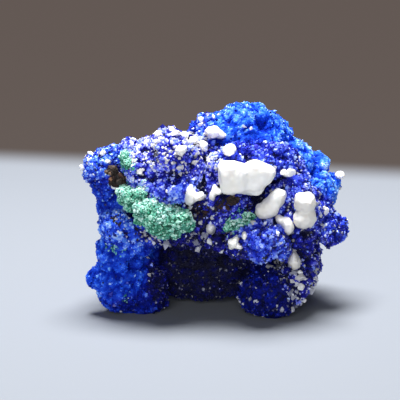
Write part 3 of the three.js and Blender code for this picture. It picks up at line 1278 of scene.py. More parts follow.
@dataclass(frozen=True)
class Nodule:
    """A white nodule or shard.

    Attributes:
        node: The CAD node that it stands for, without its first words.
        lumps: Its lumps.
        shift: How far right and up of the CAD solid's middle it stands, in millimetres.
        facing: Which way it faces.
        rounds: How many times its corners are averaged; many make it rounded and waxy, few leave it sharp.
        grey: How grey it is, from 0 to 1.
        lightness: How light it is.
    """

    node: str
    lumps: tuple[Lump, ...]
    shift: Pair = (0.0, 0.0)
    facing: Facing = Facing.FRONT
    rounds: int = 2
    grey: float = 0.03
    lightness: float = 0.84


NODULES = (
    Nodule(
        "large",
        (
            Lump(((-4.2, 2.2), (-1.95, 2.55), (-1.4, 1.9), (0.2, 1.6), (0.2, -1.9), (-2.45, -2.4),
                  (-3.6, -2.3), (-3.9, -1.6), (-4.05, 1.0)), 4.4, 0.84, 0.3),
            Lump(((-3.3, 1.9), (0.2, 1.75), (2.6, 1.3), (3.2, 0.3), (2.2, -1.7), (-3.3, -2.0)), 4.6, 0.8,
                  0.5),
            Lump(((0.1, 2.2), (0.3, 2.4), (1.6, 2.45), (2.9, 1.35), (4.1, 1.2), (4.15, 0.6), (3.65, -0.5),
                  (2.5, -1.4), (-0.6, -1.6), (-0.6, 1.3)), 4.4, 0.84, 0.5),
            Lump(((-1.2, -0.4), (2.5, -0.2), (2.6, -1.35), (2.35, -2.2), (1.45, -2.65), (0.25, -2.45),
                  (-1.4, -2.1)), 4.1, 0.66, 0.1),
        ),
        shift=(0.2, 0.0),
        rounds=48,
        lightness=0.92,
    ),
    Nodule(
        "finger",
        (
            Lump(((0.7, 2.15), (1.1, 2.3), (2.2, 1.85), (2.3, 1.0), (1.6, -0.25), (0.6, -0.9),
                  (-0.6, 0.5), (0.05, 1.4)), 3.2, 0.45, 0.1),
            Lump(((-0.9, 0.5), (0.4, 1.5), (1.5, 0.6), (1.4, -0.4), (0.6, -1.5), (-1.2, -0.6)), 3.2, 0.6,
                  0.1),
            Lump(((-0.95, 0.45), (0.3, 0.3), (1.2, -0.7), (0.7, -1.7), (-0.75, -2.35), (-1.8, -2.2),
                  (-2.4, -1.3), (-2.2, -0.45)), 3.2, 0.45, 0.1),
        ),
        shift=(0.0, -0.24),
        rounds=34,
        lightness=0.8,
    ),
    Nodule(
        "twin",
        (
            Lump(((-1.6, 2.2), (-1.0, 2.7), (0.7, 2.75), (1.5, 2.2), (1.65, 1.4), (1.5, 0.35),
                  (0.6, -0.25), (-1.0, -0.15), (-1.6, 0.7)), 3.2, 0.34, 0.35),
            Lump(((-1.15, 1.2), (0.0, 1.5), (1.2, 1.2), (1.25, -0.9), (0.0, -1.4), (-1.2, -0.9)), 2.8,
                  0.4, -0.7),
            Lump(((-1.55, -0.5), (-0.95, 0.2), (1.15, 0.3), (1.7, -0.3), (1.65, -1.3), (1.15, -2.25),
                  (-0.1, -2.75), (-1.15, -2.45), (-1.65, -1.6)), 3.2, 0.34, 0.35),
        ),
        shift=(-0.1, -0.2),
        rounds=40,
        grey=0.08,
        lightness=0.66,
    ),
    Nodule(
        "hook",
        (
            Lump(((-0.45, 1.25), (0.4, 1.2), (0.95, 0.2), (0.95, -0.75), (0.3, -1.45), (-0.35, -0.8),
                  (-0.95, 0.2))),
            Lump(((-1.8, 1.4), (-1.1, 1.7), (-0.4, 1.3), (-0.5, 0.5), (-1.4, 0.4)), 2.4),
        ),
        shift=(0.5, -0.28),
        rounds=34,
        grey=0.1,
        lightness=0.72,
    ),
    Nodule(
        "fork",
        (
            Lump(((-1.1, 1.4), (-0.3, 1.6), (0.25, 0.75), (0.45, 0.0), (0.2, -0.95), (-0.6, -1.6),
                  (-1.1, -1.15), (-1.25, 0.1)), 3.2, 0.45, 1.1),
            Lump(((0.0, 0.3), (0.9, 0.15), (1.4, 0.4), (1.3, -0.4), (0.25, -0.95), (-0.3, -0.3)), 3.0,
                  0.4, 0.8),
        ),
        shift=(-0.6, -0.24),
    ),
    Nodule(
        "tooth",
        (
            Lump(((-0.1, 1.3), (0.4, 0.65), (0.2, -0.2), (-0.2, -1.35), (-0.85, -0.85), (-0.75, 0.0),
                  (-0.45, 0.3)), 2.8, 0.4, 0.7),
            Lump(((0.1, 0.7), (1.2, 0.35), (0.85, -0.15), (0.0, -0.4)), 2.6, 0.4, 0.6),
        ),
        shift=(-0.1, 0.0),
    ),
    Nodule(
        "round",
        (Lump(((-0.9, 0.5), (-0.05, 0.9), (0.6, 0.9), (1.1, 0.3), (0.95, -0.45), (0.15, -1.0),
               (-0.7, -0.6), (-1.1, 0.0)), 2.2, 0.5),),
        shift=(0.23, -0.13),
    ),
    Nodule(
        "crest",
        (
            Lump(((-1.6, 0.25), (-1.15, 0.85), (0.3, 0.95), (0.95, 0.4), (1.1, -0.6), (0.4, -0.8),
                  (-0.8, -1.0), (-1.25, -0.5)), 2.4, 0.5),
            Lump(((0.3, 0.4), (0.95, 0.35), (1.8, -0.35), (1.65, -0.8), (0.5, -0.9)), 2.2, 0.4),
        ),
        shift=(0.15, 0.0),
    ),
    Nodule(
        "crown_left",
        (Lump(((-0.6, 0.2), (-0.2, 0.55), (0.4, 0.5), (0.65, 0.0), (0.3, -0.5), (-0.4, -0.45)), 1.8, 0.5),),
        shift=(0.07, -0.2),
    ),
    Nodule(
        "crown_right",
        (Lump(((-0.9, 0.1), (-0.45, 0.6), (0.8, 0.75), (0.9, 0.1), (0.1, -0.85), (-0.4, -0.5)), 1.8, 0.45),),
        shift=(-0.1, 0.07),
    ),
    Nodule(
        "saddle",
        (
            Lump(((-1.3, 0.9), (-0.6, 1.15), (-0.1, 0.7), (-0.2, 0.1), (-0.8, -0.1), (-1.35, 0.2)), 2.0,
                  0.4),
            Lump(((0.0, 0.2), (0.5, 0.4), (1.3, 0.0), (1.3, -0.7), (0.9, -1.2), (0.3, -1.1),
                  (-0.1, -0.4)), 2.0, 0.4),
        ),
        shift=(-0.1, -0.12),
        grey=0.12,
    ),
    Nodule(
        "middle",
        (Lump(((-0.65, 0.35), (-0.2, 0.75), (0.4, 0.6), (0.75, 0.1), (0.5, -0.6), (-0.1, -0.75),
               (-0.6, -0.35)), 2.6, 0.4, 0.8),),
        shift=(0.05, 0.15),
        grey=0.4,
        lightness=0.75,
    ),
    Nodule(
        "chin",
        (
            Lump(((-1.05, 0.1), (0.3, 1.0), (0.6, 0.5), (0.4, -0.15), (-0.1, -0.75), (-0.45, -1.0),
                  (-0.85, -0.85)), 2.8, 0.4, 0.7),
            Lump(((-0.1, -0.1), (1.15, -0.45), (1.0, -0.8), (-0.1, -0.7)), 2.8, 0.4, 0.8),
            Lump(((0.9, 1.1), (1.4, 1.55), (1.75, 1.3), (1.6, 0.6), (1.1, 0.5)), 2.8, 0.4, 0.9),
        ),
        shift=(0.4, -0.1),
    ),
    Nodule(
        "shard",
        (Lump(((-0.15, 1.6), (0.8, 0.0), (0.75, -1.0), (-0.1, -1.5), (-0.85, -0.5), (-0.75, 0.5)), 3.4,
               0.5, 1.2),),
        shift=(0.0, 0.1),
        grey=0.02,
        lightness=0.45,
    ),
    Nodule(
        "right_tip",
        (Lump(((-0.7, 0.1), (-0.2, 0.5), (0.5, 0.45), (0.75, -0.1), (0.4, -0.5), (-0.5, -0.45)), 1.8, 0.5),),
        shift=(-0.2, 0.3),
        grey=0.15,
    ),
    Nodule(
        "left_side",
        (Lump(((-0.9, 0.6), (0.1, 1.0), (1.0, 0.4), (0.8, -0.6), (-0.2, -1.0), (-1.0, -0.4)), 2.2, 0.5),),
        facing=Facing.LEFT,
    ),
    Nodule(
        "back_upper",
        (
            Lump(((-2.3, 0.2), (-1.7, 1.3), (-0.3, 1.6), (0.7, 0.9), (0.6, -0.8), (-0.8, -1.3),
                  (-2.0, -0.9)), 3.0),
            Lump(((0.2, 0.9), (1.5, 1.0), (2.4, 0.2), (2.1, -0.9), (0.8, -1.6), (0.0, -0.8)), 2.8),
        ),
        facing=Facing.BACK,
        rounds=34,
    ),
    Nodule(
        "back_lower",
        (Lump(((-0.9, 1.5), (0.3, 1.8), (1.1, 0.9), (1.0, -0.9), (0.2, -1.8), (-0.9, -1.3), (-1.2, 0.2)),
               2.8),),
        facing=Facing.BACK,
        rounds=34,
    ),
)


@dataclass
class Whites:
    """The white nodules, hewn from lumps that sit tight on the azurite.

    Attributes:
        voxel: Width of their grid.
        dent: Width and height of their soft unevenness.
        grain: Width and height of their fine unevenness.
        swell: How far they grow out of their lumps.
    """

    voxel: float = 0.145
    dent: Pair = (1.1, 0.20)
    grain: Pair = (0.5, 0.10)
    swell: float = 0.04

    def build(self, finish: bpy.types.Material) -> list[bpy.types.Object]:
        """Makes one piece for each nodule, lighter on top than below as painted light and shade, and stained
        by soft noise.

        Args:
            finish: The white mineral's material.

        Returns:
            The pieces.
        """
        pieces = []
        rng = np.random.default_rng(Seed.WHITE_LUMPS)
        for nodule in NODULES:
            node = "white_nodule_" + nodule.node
            shell = hewn(node, nodule.lumps, nodule.facing, nodule.shift, self.voxel, nodule.rounds, rng)
            places = shell.places
            height = self.dent[1] * cloudy(places, self.dent[0], Seed.WHITE_DENTS)
            height += self.grain[1] * cloudy(places, self.grain[0], Seed.WHITE_GRAIN)
            shell.places = places + (self.swell + height)[:, None] * shell.normals()
            stain = eased_step(cloudy(shell.places, 2.2, Seed.WHITE_STAINS), -0.1, 0.8)
            # Lighter where the surface faces up and darker where it faces down: painted light and shade.
            tint = nodule.lightness + 0.3 * shell.normals()[:, 2] - 0.24 * stain
            greys = eased_step(cloudy(shell.places, 1.5, Seed.WHITE_GREYS), 0.0, 0.8)
            palette = np.stack([tint, nodule.grey + 0.06 * greys], axis=1)
            palette = np.clip(palette, (0.05, 0.01), 0.99)
            name = "nodule_" + nodule.node
            piece = new_piece(name, shell, finish, palette, smooth=True, replaces=(node,))
            pieces.append(piece)
        return pieces


@dataclass(frozen=True)
class Chip:
    """A white chip too small for a solid of its own.

    Attributes:
        spot: Its place on the azurite, in millimetres.
        width: Its width.
        grey: How grey it is, from 0 to 1.
    """

    spot: Spot
    width: float
    grey: float = 0.0


CHIPS = (
    Chip((-5.9, -7.3, 27.3), 1.9),
    Chip((-6.6, -6.4, 27.6), 1.2),
    Chip((-8.4, -9.0, 26.2), 1.3),
    Chip((-8.0, -8.2, 26.8), 0.9),
    Chip((-3.2, -6.0, 26.8), 1.2),
    Chip((-4.4, -5.6, 27.6), 1.0),
    Chip((-1.9, -5.2, 25.6), 1.1, 0.15),
    Chip((-2.6, -8.2, 25.0), 0.9, 0.1),
    Chip((-9.9, -9.7, 23.6), 0.8, 0.2),
    Chip((-11.2, -7.6, 24.4), 0.7),
    Chip((-7.2, -10.4, 24.6), 0.6),
    Chip((-18.6, -5.4, 24.2), 1.0),
    Chip((-16.4, -6.6, 24.6), 1.4),
    Chip((-15.2, -5.6, 25.2), 0.7),
    Chip((-19.9, -5.6, 22.2), 1.1),
    Chip((-18.4, -7.0, 22.6), 0.8, 0.3),
    Chip((15.9, -2.0, 15.1), 1.8),
    Chip((16.2, -2.4, 13.2), 1.2, 0.5),
    Chip((15.2, -4.2, 12.4), 0.8, 0.6),
    Chip((-1.0, -8.6, 13.7), 1.3, 0.45),
    Chip((-0.9, -7.8, 11.7), 1.1, 0.7),
    Chip((-2.0, 0.3, 28.4), 1.2, 0.1),
    Chip((-0.6, 0.1, 28.8), 0.8, 0.3),
    Chip((4.3, -2.4, 27.9), 0.9, 0.2),
    Chip((5.2, -2.6, 27.6), 0.7, 0.2),
    Chip((12.4, -8.8, 5.3), 1.2, 0.3),
    Chip((12.2, -8.4, 6.6), 1.1, 0.5),
    Chip((13.0, -7.6, 2.8), 1.0, 0.35),
    Chip((11.2, -8.6, 3.6), 0.8, 0.7),
    Chip((11.6, -8.0, 7.6), 0.8, 0.8),
    Chip((15.0, -3.2, 9.2), 0.7, 0.2),
    Chip((10.0, -8.4, 22.1), 1.3),
    Chip((10.9, -7.8, 21.5), 1.9),
    Chip((-10.1, -10.0, 20.1), 0.9),
    Chip((-14.8, -7.0, 19.8), 1.2),
    Chip((-11.6, -9.6, 18.4), 0.8, 0.1),
    Chip((-7.0, -11.4, 20.0), 0.6),
    Chip((8.4, -8.9, 16.2), 1.2, 0.2),
)


@dataclass
class Grains:
    """The white chips and the small pale grains on the azurite.

    Attributes:
        count: How many small grains.
        width: Their usual width, and how much their widths differ.
        proud: How much of a chip's width its middle stands out of the azurite.
        facets: How many facets a chip gets, how deep the deepest goes and how much past it stays.
    """

    count: int = 1600
    width: Pair = (0.40, 0.38)
    proud: float = 0.25
    facets: tuple[int, float, float] = (11, 0.34, 0.1)

    def chips(self, azurite: Azurite, finish: bpy.types.Material) -> bpy.types.Object:
        """Sets the chips on the azurite: lumps with pressed facets, half sunk in it.

        Args:
            azurite: What they stand on.
            finish: The white mineral's material.

        Returns:
            The piece.
        """
        rng = np.random.default_rng(Seed.CHIPS)
        form = ball(2)
        roots, normals = azurite.nearest(np.array([chip.spot for chip in CHIPS]))
        width = np.array([chip.width for chip in CHIPS])
        sizes = width[:, None] * rng.uniform(0.75, 1.2, (len(CHIPS), 3))
        axes = leaning_axes(normals, 0.7, rng)
        shell = planted(form, roots + self.proud * width[:, None] * normals, axes, sizes)
        lumps = chipped(shell.places.reshape(len(CHIPS), -1, 3), rng, *self.facets)
        shell.places = lumps.reshape(-1, 3)
        shade = rng.uniform(0.8, 1.0, len(CHIPS))
        grey = np.array([0.03 + 0.9 * chip.grey for chip in CHIPS])
        palette = dabbed(shade, grey, len(form.places), rng, spread=0.01)
        return new_piece("white_chips", shell, finish, palette)

    def scattered(self, azurite: Azurite, finish: bpy.types.Material) -> bpy.types.Object:
        """Scatters the small grains, as twenty-sided lumps with their corners moved at random.

        Args:
            azurite: What they stand on.
            finish: The white mineral's material.

        Returns:
            The piece.
        """
        rng = np.random.default_rng(Seed.GRAINS)
        spots = azurite.rooted(self.count, lambda look: look["grit"] + 0.0004, rng)
        form = ball(0)
        corners = len(form.places)
        width = self.width[0] * rng.lognormal(0.0, self.width[1], self.count)
        sizes = width[:, None] * rng.uniform(0.7, 1.3, (self.count, 3))
        axes = leaning_axes(spots.normals, 0.6, rng)
        shell = planted(form, spots.places + 0.05 * spots.normals, axes, sizes)
        shell.places += 0.13 * np.repeat(width, corners)[:, None] * rng.normal(size=shell.places.shape)
        # Darker in hollows and greyer where dusk is high: painted shade, with the grains' own grey.
        shade = rng.uniform(0.6, 1.0, self.count) * (0.6 + 0.4 * spots.relief)
        grey = 0.25 + 0.75 * spots.look["dusk"] + rng.normal(0, 0.2, self.count)
        palette = dabbed(shade, np.clip(grey, 0.02, 0.98), corners, rng)
        return new_piece("pale_grains", shell, finish, palette)


CRUSTS: dict[str, tuple[Facing, tuple[Lump, ...]]] = {
    "malachite_crust": (
        Facing.FRONT,
        (
            Lump(((-4.9, 3.3), (-4.3, 3.75), (-3.2, 3.6), (-2.7, 2.8), (-2.8, 1.65), (-2.35, 0.5),
                  (-3.1, 0.0), (-4.0, 0.6), (-4.7, 1.65)), 2.6, 0.5),
            Lump(((-3.0, 3.3), (-2.2, 3.6), (-1.35, 3.2), (-1.25, 2.3), (-1.9, 1.6), (-2.9, 1.8)), 2.4,
                  0.5),
            Lump(((-2.6, 1.6), (-1.8, 1.8), (-0.35, 1.9), (1.4, 1.75), (2.3, 0.95), (2.6, -0.6),
                  (1.8, -2.3), (0.6, -2.7), (-0.6, -2.3), (-1.8, -1.2), (-2.5, 0.05)), 3.2, 0.62),
            Lump(((2.2, 0.75), (4.0, 0.6), (5.3, -0.25), (5.85, -1.3), (5.2, -2.2), (3.7, -2.8),
                  (2.0, -2.8), (1.1, -1.55)), 3.2, 0.6),
            Lump(((-1.2, -1.2), (0.6, 0.6), (2.6, 0.9), (4.2, -0.6), (4.5, -2.4), (3.2, -3.3),
                  (1.0, -3.3), (-0.6, -2.6)), 3.0, 0.55),
        ),
    ),
    "malachite_tuft": (
        Facing.FRONT,
        (
            Lump(((-1.8, -0.35), (-1.2, 0.25), (0.0, 0.5), (0.9, 0.1), (0.7, -0.6), (-0.6, -1.05),
                  (-1.5, -0.9)), 3.4, 0.6, 0.9),
            Lump(((0.0, 0.4), (1.0, 1.15), (1.85, 1.2), (2.0, 0.5), (1.1, -0.3), (0.1, -0.5)), 3.4, 0.6,
                  0.9),
        ),
    ),
    "malachite_fleck": (
        Facing.FRONT,
        (Lump(((-0.75, 0.95), (-0.35, 1.1), (0.15, 0.4), (0.45, -0.6), (0.2, -1.3), (-0.1, -1.1),
               (-0.4, 0.0)), 2.0),),
    ),
    "malachite_back": (
        Facing.BACK,
        (
            Lump(((-3.0, 0.4), (-2.2, 1.3), (-0.8, 1.5), (0.3, 0.8), (0.2, -0.8), (-1.2, -1.5),
                  (-2.6, -1.0))),
            Lump(((0.0, 1.0), (1.4, 1.3), (2.8, 0.5), (2.9, -0.7), (1.5, -1.5), (0.0, -1.1))),
        ),
    ),
}


@dataclass
class Malachite:
    """The green crusts: a knobbly base under close-set little beads, some of which stray onto the azurite.

    Attributes:
        voxel: Width of the base's grid.
        smoothing: How many times its corners are averaged.
        clump: Width and height of its large clumps.
        knob: Width and height of its knobs.
        level: Height of a knob at which the surface stays where it is.
        ragged: Width and height of its unevenness.
        bead: Usual width of a bead, and how much widths differ.
        density: Beads to a square millimetre.
        tries: How many places on the azurite are tried for strays.
        strays: How many beads lie round the crusts.
        fringe: How far from a crust they lie.
        loose: Where beads lie by themselves, with how many and how far they spread.
    """

    voxel: float = 0.17
    smoothing: int = 2
    clump: Pair = (1.3, 0.3)
    knob: Pair = (0.6, 0.4)
    level: float = 0.7
    ragged: Pair = (0.75, 0.85)
    bead: Pair = (0.25, 0.34)
    density: float = 29.0
    tries: int = 40000
    strays: int = 1300
    fringe: float = 1.3
    loose: Patches = (
        ((-14.6, -8.0, 10.8), 150, 0.95),
        ((-13.4, -8.3, 3.4), 16, 0.7),
        ((-16.8, -6.4, 23.6), 16, 1.2),
    )

    def build(self, azurite: Azurite, finish: bpy.types.Material) -> list[bpy.types.Object]:
        """Makes a base and a coat of beads for each malachite CAD node, and the strays.

        Args:
            azurite: What they grow on.
            finish: The malachite's material.

        Returns:
            The pieces.
        """
        pieces = []
        shells = []
        for order, node in enumerate(CRUSTS):
            shell, palette = self.base(node, order)
            shells.append(shell)
            name = node + "_base"
            base = new_piece(name, shell, finish, palette, smooth=True, replaces=(node,))
            pieces += [base, self.coat(node, order, shell, finish)]
        return pieces + self.astray(azurite, np.concatenate([shell.places for shell in shells]), finish)

    def base(self, node: str, order: int) -> tuple[Shell, Numbers]:
        """A crust's base: its hewn lumps, moved out and in by knobs, clumps and soft noise.

        Args:
            node: The CAD node.
            order: Its number, which sets its random draws apart.

        Returns:
            The shell and its palette: dark, as painted shade under and between the beads, and a little
                lighter on the knobs, as painted light.
        """
        facing, lumps = CRUSTS[node]
        rng = np.random.default_rng(Seed.MALACHITE_LUMPS)
        shell = hewn(node, lumps, facing, (0.0, 0.0), self.voxel, self.smoothing, rng)
        top = knobs(shell.places, self.knob[0], Seed.MALACHITE_KNOBS)
        clumps = knobs(shell.places, self.clump[0], Seed.MALACHITE_CLUMPS)
        height = self.knob[1] * (top - self.level) + self.clump[1] * (clumps - self.level)
        height += self.ragged[1] * cloudy(shell.places, self.ragged[0], Seed.MALACHITE_RAGGED)
        shell.places = shell.places + height[:, None] * shell.normals()
        rng = np.random.default_rng(Seed.MALACHITE_BASES + order)
        # Dark with lighter knob tops: painted shade and painted light.
        return shell, dabbed(0.05 + 0.2 * top, np.full(len(top), 0.7), 1, rng, spread=0.02)

    def coat(self, node: str, order: int, shell: Shell, finish: bpy.types.Material) -> bpy.types.Object:
        """A coat of beads on a crust's base.

        Args:
            node: The CAD node.
            order: Its number, which sets its random draws apart.
            shell: The base.
            finish: The malachite's material.

        Returns:
            The piece.
        """
        rng = np.random.default_rng(Seed.MALACHITE_COATS + order)
        places, normals, corners = shell.scattered(self.density, rng)
        # Darker in the base's hollows: painted shade.
        relief = np.clip(0.55 - 4.5 * shell.hollows(8), 0, 1)[corners]
        return self.beads(node + "_beads", Spots(places, normals, relief), finish, rng)

    def astray(
        self, azurite: Azurite, crusts: Numbers, finish: bpy.types.Material
    ) -> list[bpy.types.Object]:
        """The beads that lie on the azurite round the crusts, more of them close by, and those by
        themselves.

        Args:
            azurite: What they lie on.
            crusts: The corners of all the crusts.
            finish: The malachite's material.

        Returns:
            The pieces.
        """
        rng = np.random.default_rng(Seed.MALACHITE_STRAYS)
        spots = azurite.rooted(self.tries, lambda look: np.ones_like(look["hue"]), rng)
        gap = gap_between(spots.places, crusts[::7], self.fringe)
        close = np.flatnonzero(rng.random(len(gap)) * self.fringe * 0.9 > gap)[: self.strays]
        fringe = self.beads("malachite_strays", spots.some(close), finish, rng)
        return [fringe, self.beads("malachite_loose", azurite.around(self.loose, rng), finish, rng)]

    def beads(
        self, name: str, spots: Spots, finish: bpy.types.Material, rng: np.random.Generator
    ) -> bpy.types.Object:
        """Beads of mixed widths with uneven corners, with painted light that makes them pale on upper faces
        and knobs and painted shade that makes them dark in hollows and below.

        Args:
            name: The piece's name.
            spots: Where they stand.
            finish: The malachite's material.
            rng: The random numbers.

        Returns:
            The piece.
        """
        form = bipyramid(5, 0.3)
        corners = len(form.places)
        count = len(spots.places)
        upward = spots.normals[:, 2]
        width = self.bead[0] * rng.lognormal(0.0, self.bead[1], count)
        sizes = width[:, None] * rng.uniform(0.75, 1.35, (count, 3))
        shell = planted(form, spots.places, leaning_axes(spots.normals, 0.8, rng), sizes)
        shell.places += 0.08 * np.repeat(width, corners)[:, None] * rng.normal(size=shell.places.shape)
        # Painted light and shade: lighter with relief and on upward faces, more often pale on knobs, darker
        # in hollows and below.
        tint = 0.22 + 0.5 * spots.relief + 0.3 * upward + rng.normal(0, 0.2, count)
        pale = rng.random(count) < 0.24 * spots.relief
        tint = np.where(pale, rng.uniform(0.8, 1.0, count), tint)
        # Upward faces lean towards the pale ramp, as painted light; the soft noise varies the green at
        # random.
        hue = eased_step(cloudy(spots.places, 1.6, Seed.MALACHITE_HUES), -0.4, 0.4) - 0.3 * upward
        hue = hue + rng.normal(0, 0.15, count)
        palette = dabbed(np.clip(tint, 0.02, 0.98), np.clip(hue, 0.02, 0.98), corners, rng)
        return new_piece(name, shell, finish, palette)


@dataclass
class Limonite:
    """The brown crumbs: rough bases under angular grains, and grains loose in the azurite's hollows.

    Attributes:
        voxel: Width of a base's grid.
        swell: How far each base grows out of its CAD solid, by the CAD node's name; below 0, it shrinks.
        knob: Width and height of a base's knobs.
        level: Height of a knob at which the surface stays where it is.
        near: How far the base grows more where the azurite is close.
        crumb: Usual width of a grain, and how much widths differ.
        density: Grains to a square millimetre.
        loose: Where loose grains lie, with how many and how far they spread.
    """

    voxel: float = 0.14
    swell: tuple[tuple[str, float], ...] = (("limonite_left", -0.1), ("limonite_middle", -0.55))
    knob: Pair = (0.8, 0.6)
    level: float = 0.8
    near: float = 0.3
    crumb: Pair = (0.42, 0.35)
    density: float = 17.0
    loose: Patches = (
        ((-15.0, -9.2, 14.8), 14, 1.0),
        ((-12.2, -8.6, 13.2), 18, 1.0),
        ((-2.8, -9.8, 16.4), 80, 1.4),
        ((5.0, -8.4, 17.0), 30, 1.0),
        ((0.9, -10.0, 17.4), 60, 0.9),
        ((-14.0, -6.6, 20.0), 50, 0.9),
    )

    def build(self, azurite: Azurite, finish: bpy.types.Material) -> list[bpy.types.Object]:
        """Makes a base and its grains for each limonite CAD node, and the loose grains.

        Args:
            azurite: What they lie on.
            finish: The limonite's material.

        Returns:
            The pieces.
        """
        pieces = []
        for order, (node, swell) in enumerate(self.swell):
            shell = grown_from(node, self.voxel, 4)
            close = 1 - eased_step(gap_between(shell.places, azurite.plain, 3.0), 0.45, 1.0)
            top = knobs(shell.places, self.knob[0], Seed.LIMONITE_KNOBS)
            height = swell + self.knob[1] * (top - self.level) + self.near * close
            shell.places = shell.places + height[:, None] * shell.normals()
            rng = np.random.default_rng(Seed.LIMONITE + order)
            # Dark, partly the limonite's own colour and partly painted shade, and lighter on its knobs as
            # painted light.
            palette = dabbed(0.03 + 0.12 * top, np.full(len(top), 0.3), 1, rng, spread=0.02)
            name = node + "_base"
            pieces.append(new_piece(name, shell, finish, palette, smooth=True, replaces=(node,)))
            places, normals, _ = shell.scattered(self.density, rng)
            pieces.append(self.crumbs(node + "_crumbs", places, normals, finish, rng))
        rng = np.random.default_rng(Seed.LIMONITE_LOOSE)
        spots = azurite.around(self.loose, rng)
        pieces.append(self.crumbs("limonite_loose", spots.places, spots.normals, finish, rng))
        return pieces

    def crumbs(
        self,
        name: str,
        places: Numbers,
        normals: Numbers,
        finish: bpy.types.Material,
        rng: np.random.Generator,
    ) -> bpy.types.Object:
        """Angular grains from nearly black to tan, with painted light that makes them paler where the
        surface faces up and left.

        Args:
            name: The piece's name.
            places: Where they stand.
            normals: The surface's normals there.
            finish: The limonite's material.
            rng: The random numbers.

        Returns:
            The piece.
        """
        form = bipyramid(5, 0.05)
        count = len(places)
        width = self.crumb[0] * rng.lognormal(0.0, self.crumb[1], count)
        sizes = width[:, None] * rng.uniform(0.7, 1.3, (count, 3))
        shell = planted(form, places, leaning_axes(normals, 0.9, rng), sizes)
        cloud = cloudy(places, 1.2, Seed.LIMONITE_WEATHER)
        # Paler where the grains face up and to the left, towards the light: painted light, broken up by soft
        # noise.
        painted_light_up_left = eased_step(normals[:, 2] - 0.8 * normals[:, 0] + cloud, 0.4, 1.6)
        tint = rng.beta(0.8, 3.2, count) + 0.9 * painted_light_up_left * rng.random(count)
        hue = rng.random(count)
        palette = dabbed(np.clip(tint, 0.02, 0.98), np.clip(hue, 0.02, 0.98), len(form.places), rng)
        return new_piece(name, shell, finish, palette)


# --- The studio -----------------------------------------------------------------------------------


SENSOR = 36.0


@dataclass(frozen=True)
class Lamp:
    """A round soft light.

    Attributes:
        name: Its name.
        size: Its width in millimetres.
        power: Its power in watts.
        place: Where it hangs, in millimetres.
    """

    name: str
    size: float
    power: float
    place: Spot


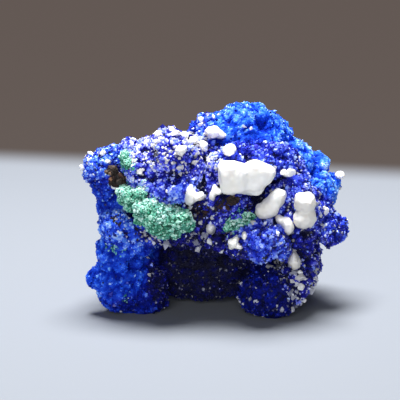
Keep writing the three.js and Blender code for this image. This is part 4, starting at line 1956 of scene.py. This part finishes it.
@dataclass
class Studio:
    """The pale floor, the soft lights and the camera.

    Attributes:
        aim: What the camera looks at, in millimetres.
        distance: From the camera to there.
        elevation: How far the camera looks down, in degrees.
        view: Width of what it sees there.
        table: Distance behind the specimen at which the pale floor ends.
        pale: The floor's colour.
        fade: How far before and behind that line it fades.
        reach: The floor's half-width in metres.
        backdrop: What is seen beyond it.
        lamps: A large light overhead and a weak one in front.
        surround: The light from all round, and its strength.
    """

    aim: Spot = (-2.42, -2.2, 16.7)
    distance: float = 270.0
    elevation: float = 12.0
    view: float = 60.0
    table: float = 112.0
    pale: Colour = (0.255, 0.274, 0.308)
    fade: float = 12.0
    reach: float = 1.6
    backdrop: Colour = (0.122, 0.096, 0.085)
    lamps: tuple[Lamp, ...] = (
        Lamp("overhead", 190.0, 3.0, (-15.0, 35.0, 330.0)),
        Lamp("front", 300.0, 0.95, (-60.0, -420.0, 130.0)),
    )
    surround: tuple[Colour, float] = ((0.55, 0.58, 0.65), 0.08)

    def camera(self) -> None:
        """Adds the camera, level, in front of the specimen."""
        data = bpy.data.cameras.new("camera")
        data.sensor_width = SENSOR
        data.lens = SENSOR * self.distance / self.view
        data.clip_start, data.clip_end = 0.01, 20.0
        camera = new_object("camera", data)
        tilt = math.radians(self.elevation)
        away = Vector((0, -math.cos(tilt), math.sin(tilt)))
        camera.location = (Vector(self.aim) + self.distance * away) * MM
        camera.rotation_euler = (math.radians(90 - self.elevation), 0, 0)
        bpy.context.scene.camera = camera

    def floor(self) -> None:
        """Adds the floor: pale, and fading into warm grey behind the specimen, along a line a little
        askew."""
        reach = self.reach
        corners = [(-reach, -reach, 0), (reach, -reach, 0), (reach, reach, 0), (-reach, reach, 0)]
        mesh = bpy.data.meshes.new("floor")
        mesh.from_pydata(corners, [], [(0, 1, 2, 3)])
        material = bpy.data.materials.new("floor")
        material.use_nodes = True
        nodes, links = material.node_tree.nodes, material.node_tree.links
        where = nodes.new("ShaderNodeTexCoord")
        split = nodes.new("ShaderNodeSeparateXYZ")
        lean = nodes.new("ShaderNodeMath")
        lean.operation = "MULTIPLY_ADD"
        lean.inputs[1].default_value = 0.22
        fade = nodes.new("ShaderNodeMapRange")
        fade.interpolation_type = "SMOOTHSTEP"
        fade.inputs["From Min"].default_value = (self.table - self.fade) * MM
        fade.inputs["From Max"].default_value = (self.table + self.fade) * MM
        links.new(where.outputs["Object"], split.inputs["Vector"])
        links.new(split.outputs["X"], lean.inputs[0])
        links.new(split.outputs["Y"], lean.inputs[2])
        links.new(lean.outputs[0], fade.inputs["Value"])
        shader = nodes["Principled BSDF"]
        black = (0.0, 0.0, 0.0)
        for socket, near, far in (
            ("Base Color", self.pale, black),
            ("Emission Color", black, self.backdrop),
        ):
            share, first, second, mixed = colour_mix(nodes)
            first.default_value = (*near, 1)
            second.default_value = (*far, 1)
            links.new(fade.outputs["Result"], share)
            links.new(mixed, shader.inputs[socket])
        shader.inputs["Emission Strength"].default_value = 1.0
        shader.inputs["Specular IOR Level"].default_value = 0.1
        shader.inputs["Roughness"].default_value = 0.7
        mesh.materials.append(material)
        new_object("floor", mesh)

    def lights(self) -> None:
        """Adds the lamps, which point at what the camera looks at, and a dim surround."""
        for lamp in self.lamps:
            data = bpy.data.lights.new(lamp.name, "AREA")
            data.shape = "DISK"
            data.size = lamp.size * MM
            data.energy = lamp.power
            light = new_object(lamp.name, data)
            light.location = Vector(lamp.place) * MM
            way = Vector(self.aim) - Vector(lamp.place)
            light.rotation_euler = way.to_track_quat("-Z", "Y").to_euler()
        world = bpy.data.worlds.new("surround")
        bpy.context.scene.world = world
        world.use_nodes = True
        colour, strength = self.surround
        background = world.node_tree.nodes["Background"]
        background.inputs["Color"].default_value = (*colour, 1)
        background.inputs["Strength"].default_value = strength

    def build(self) -> None:
        """Builds the floor, the lights and the camera, and sets plain colour handling."""
        self.camera()
        self.floor()
        self.lights()
        bpy.context.scene.view_settings.view_transform = "Standard"


def main() -> None:
    """Builds the specimen's pieces in order, then the studio."""
    logging.basicConfig(level=logging.INFO, format="%(name)s: %(message)s")
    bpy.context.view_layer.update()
    grain = fine_grain_group()
    azurite = Azurite()
    velvet = VELVET.material(grain)
    azurite.body(velvet)
    azurite.druse(DRUSE.material(grain))
    azurite.velvet(velvet)
    white = WHITE.material(grain)
    Whites().build(white)
    grains = Grains()
    grains.chips(azurite, white)
    grains.scattered(azurite, white)
    Malachite().build(azurite, MALACHITE.material(grain))
    Limonite().build(azurite, LIMONITE.material(grain))
    Studio().build()


if __name__ == "__main__":
    main()
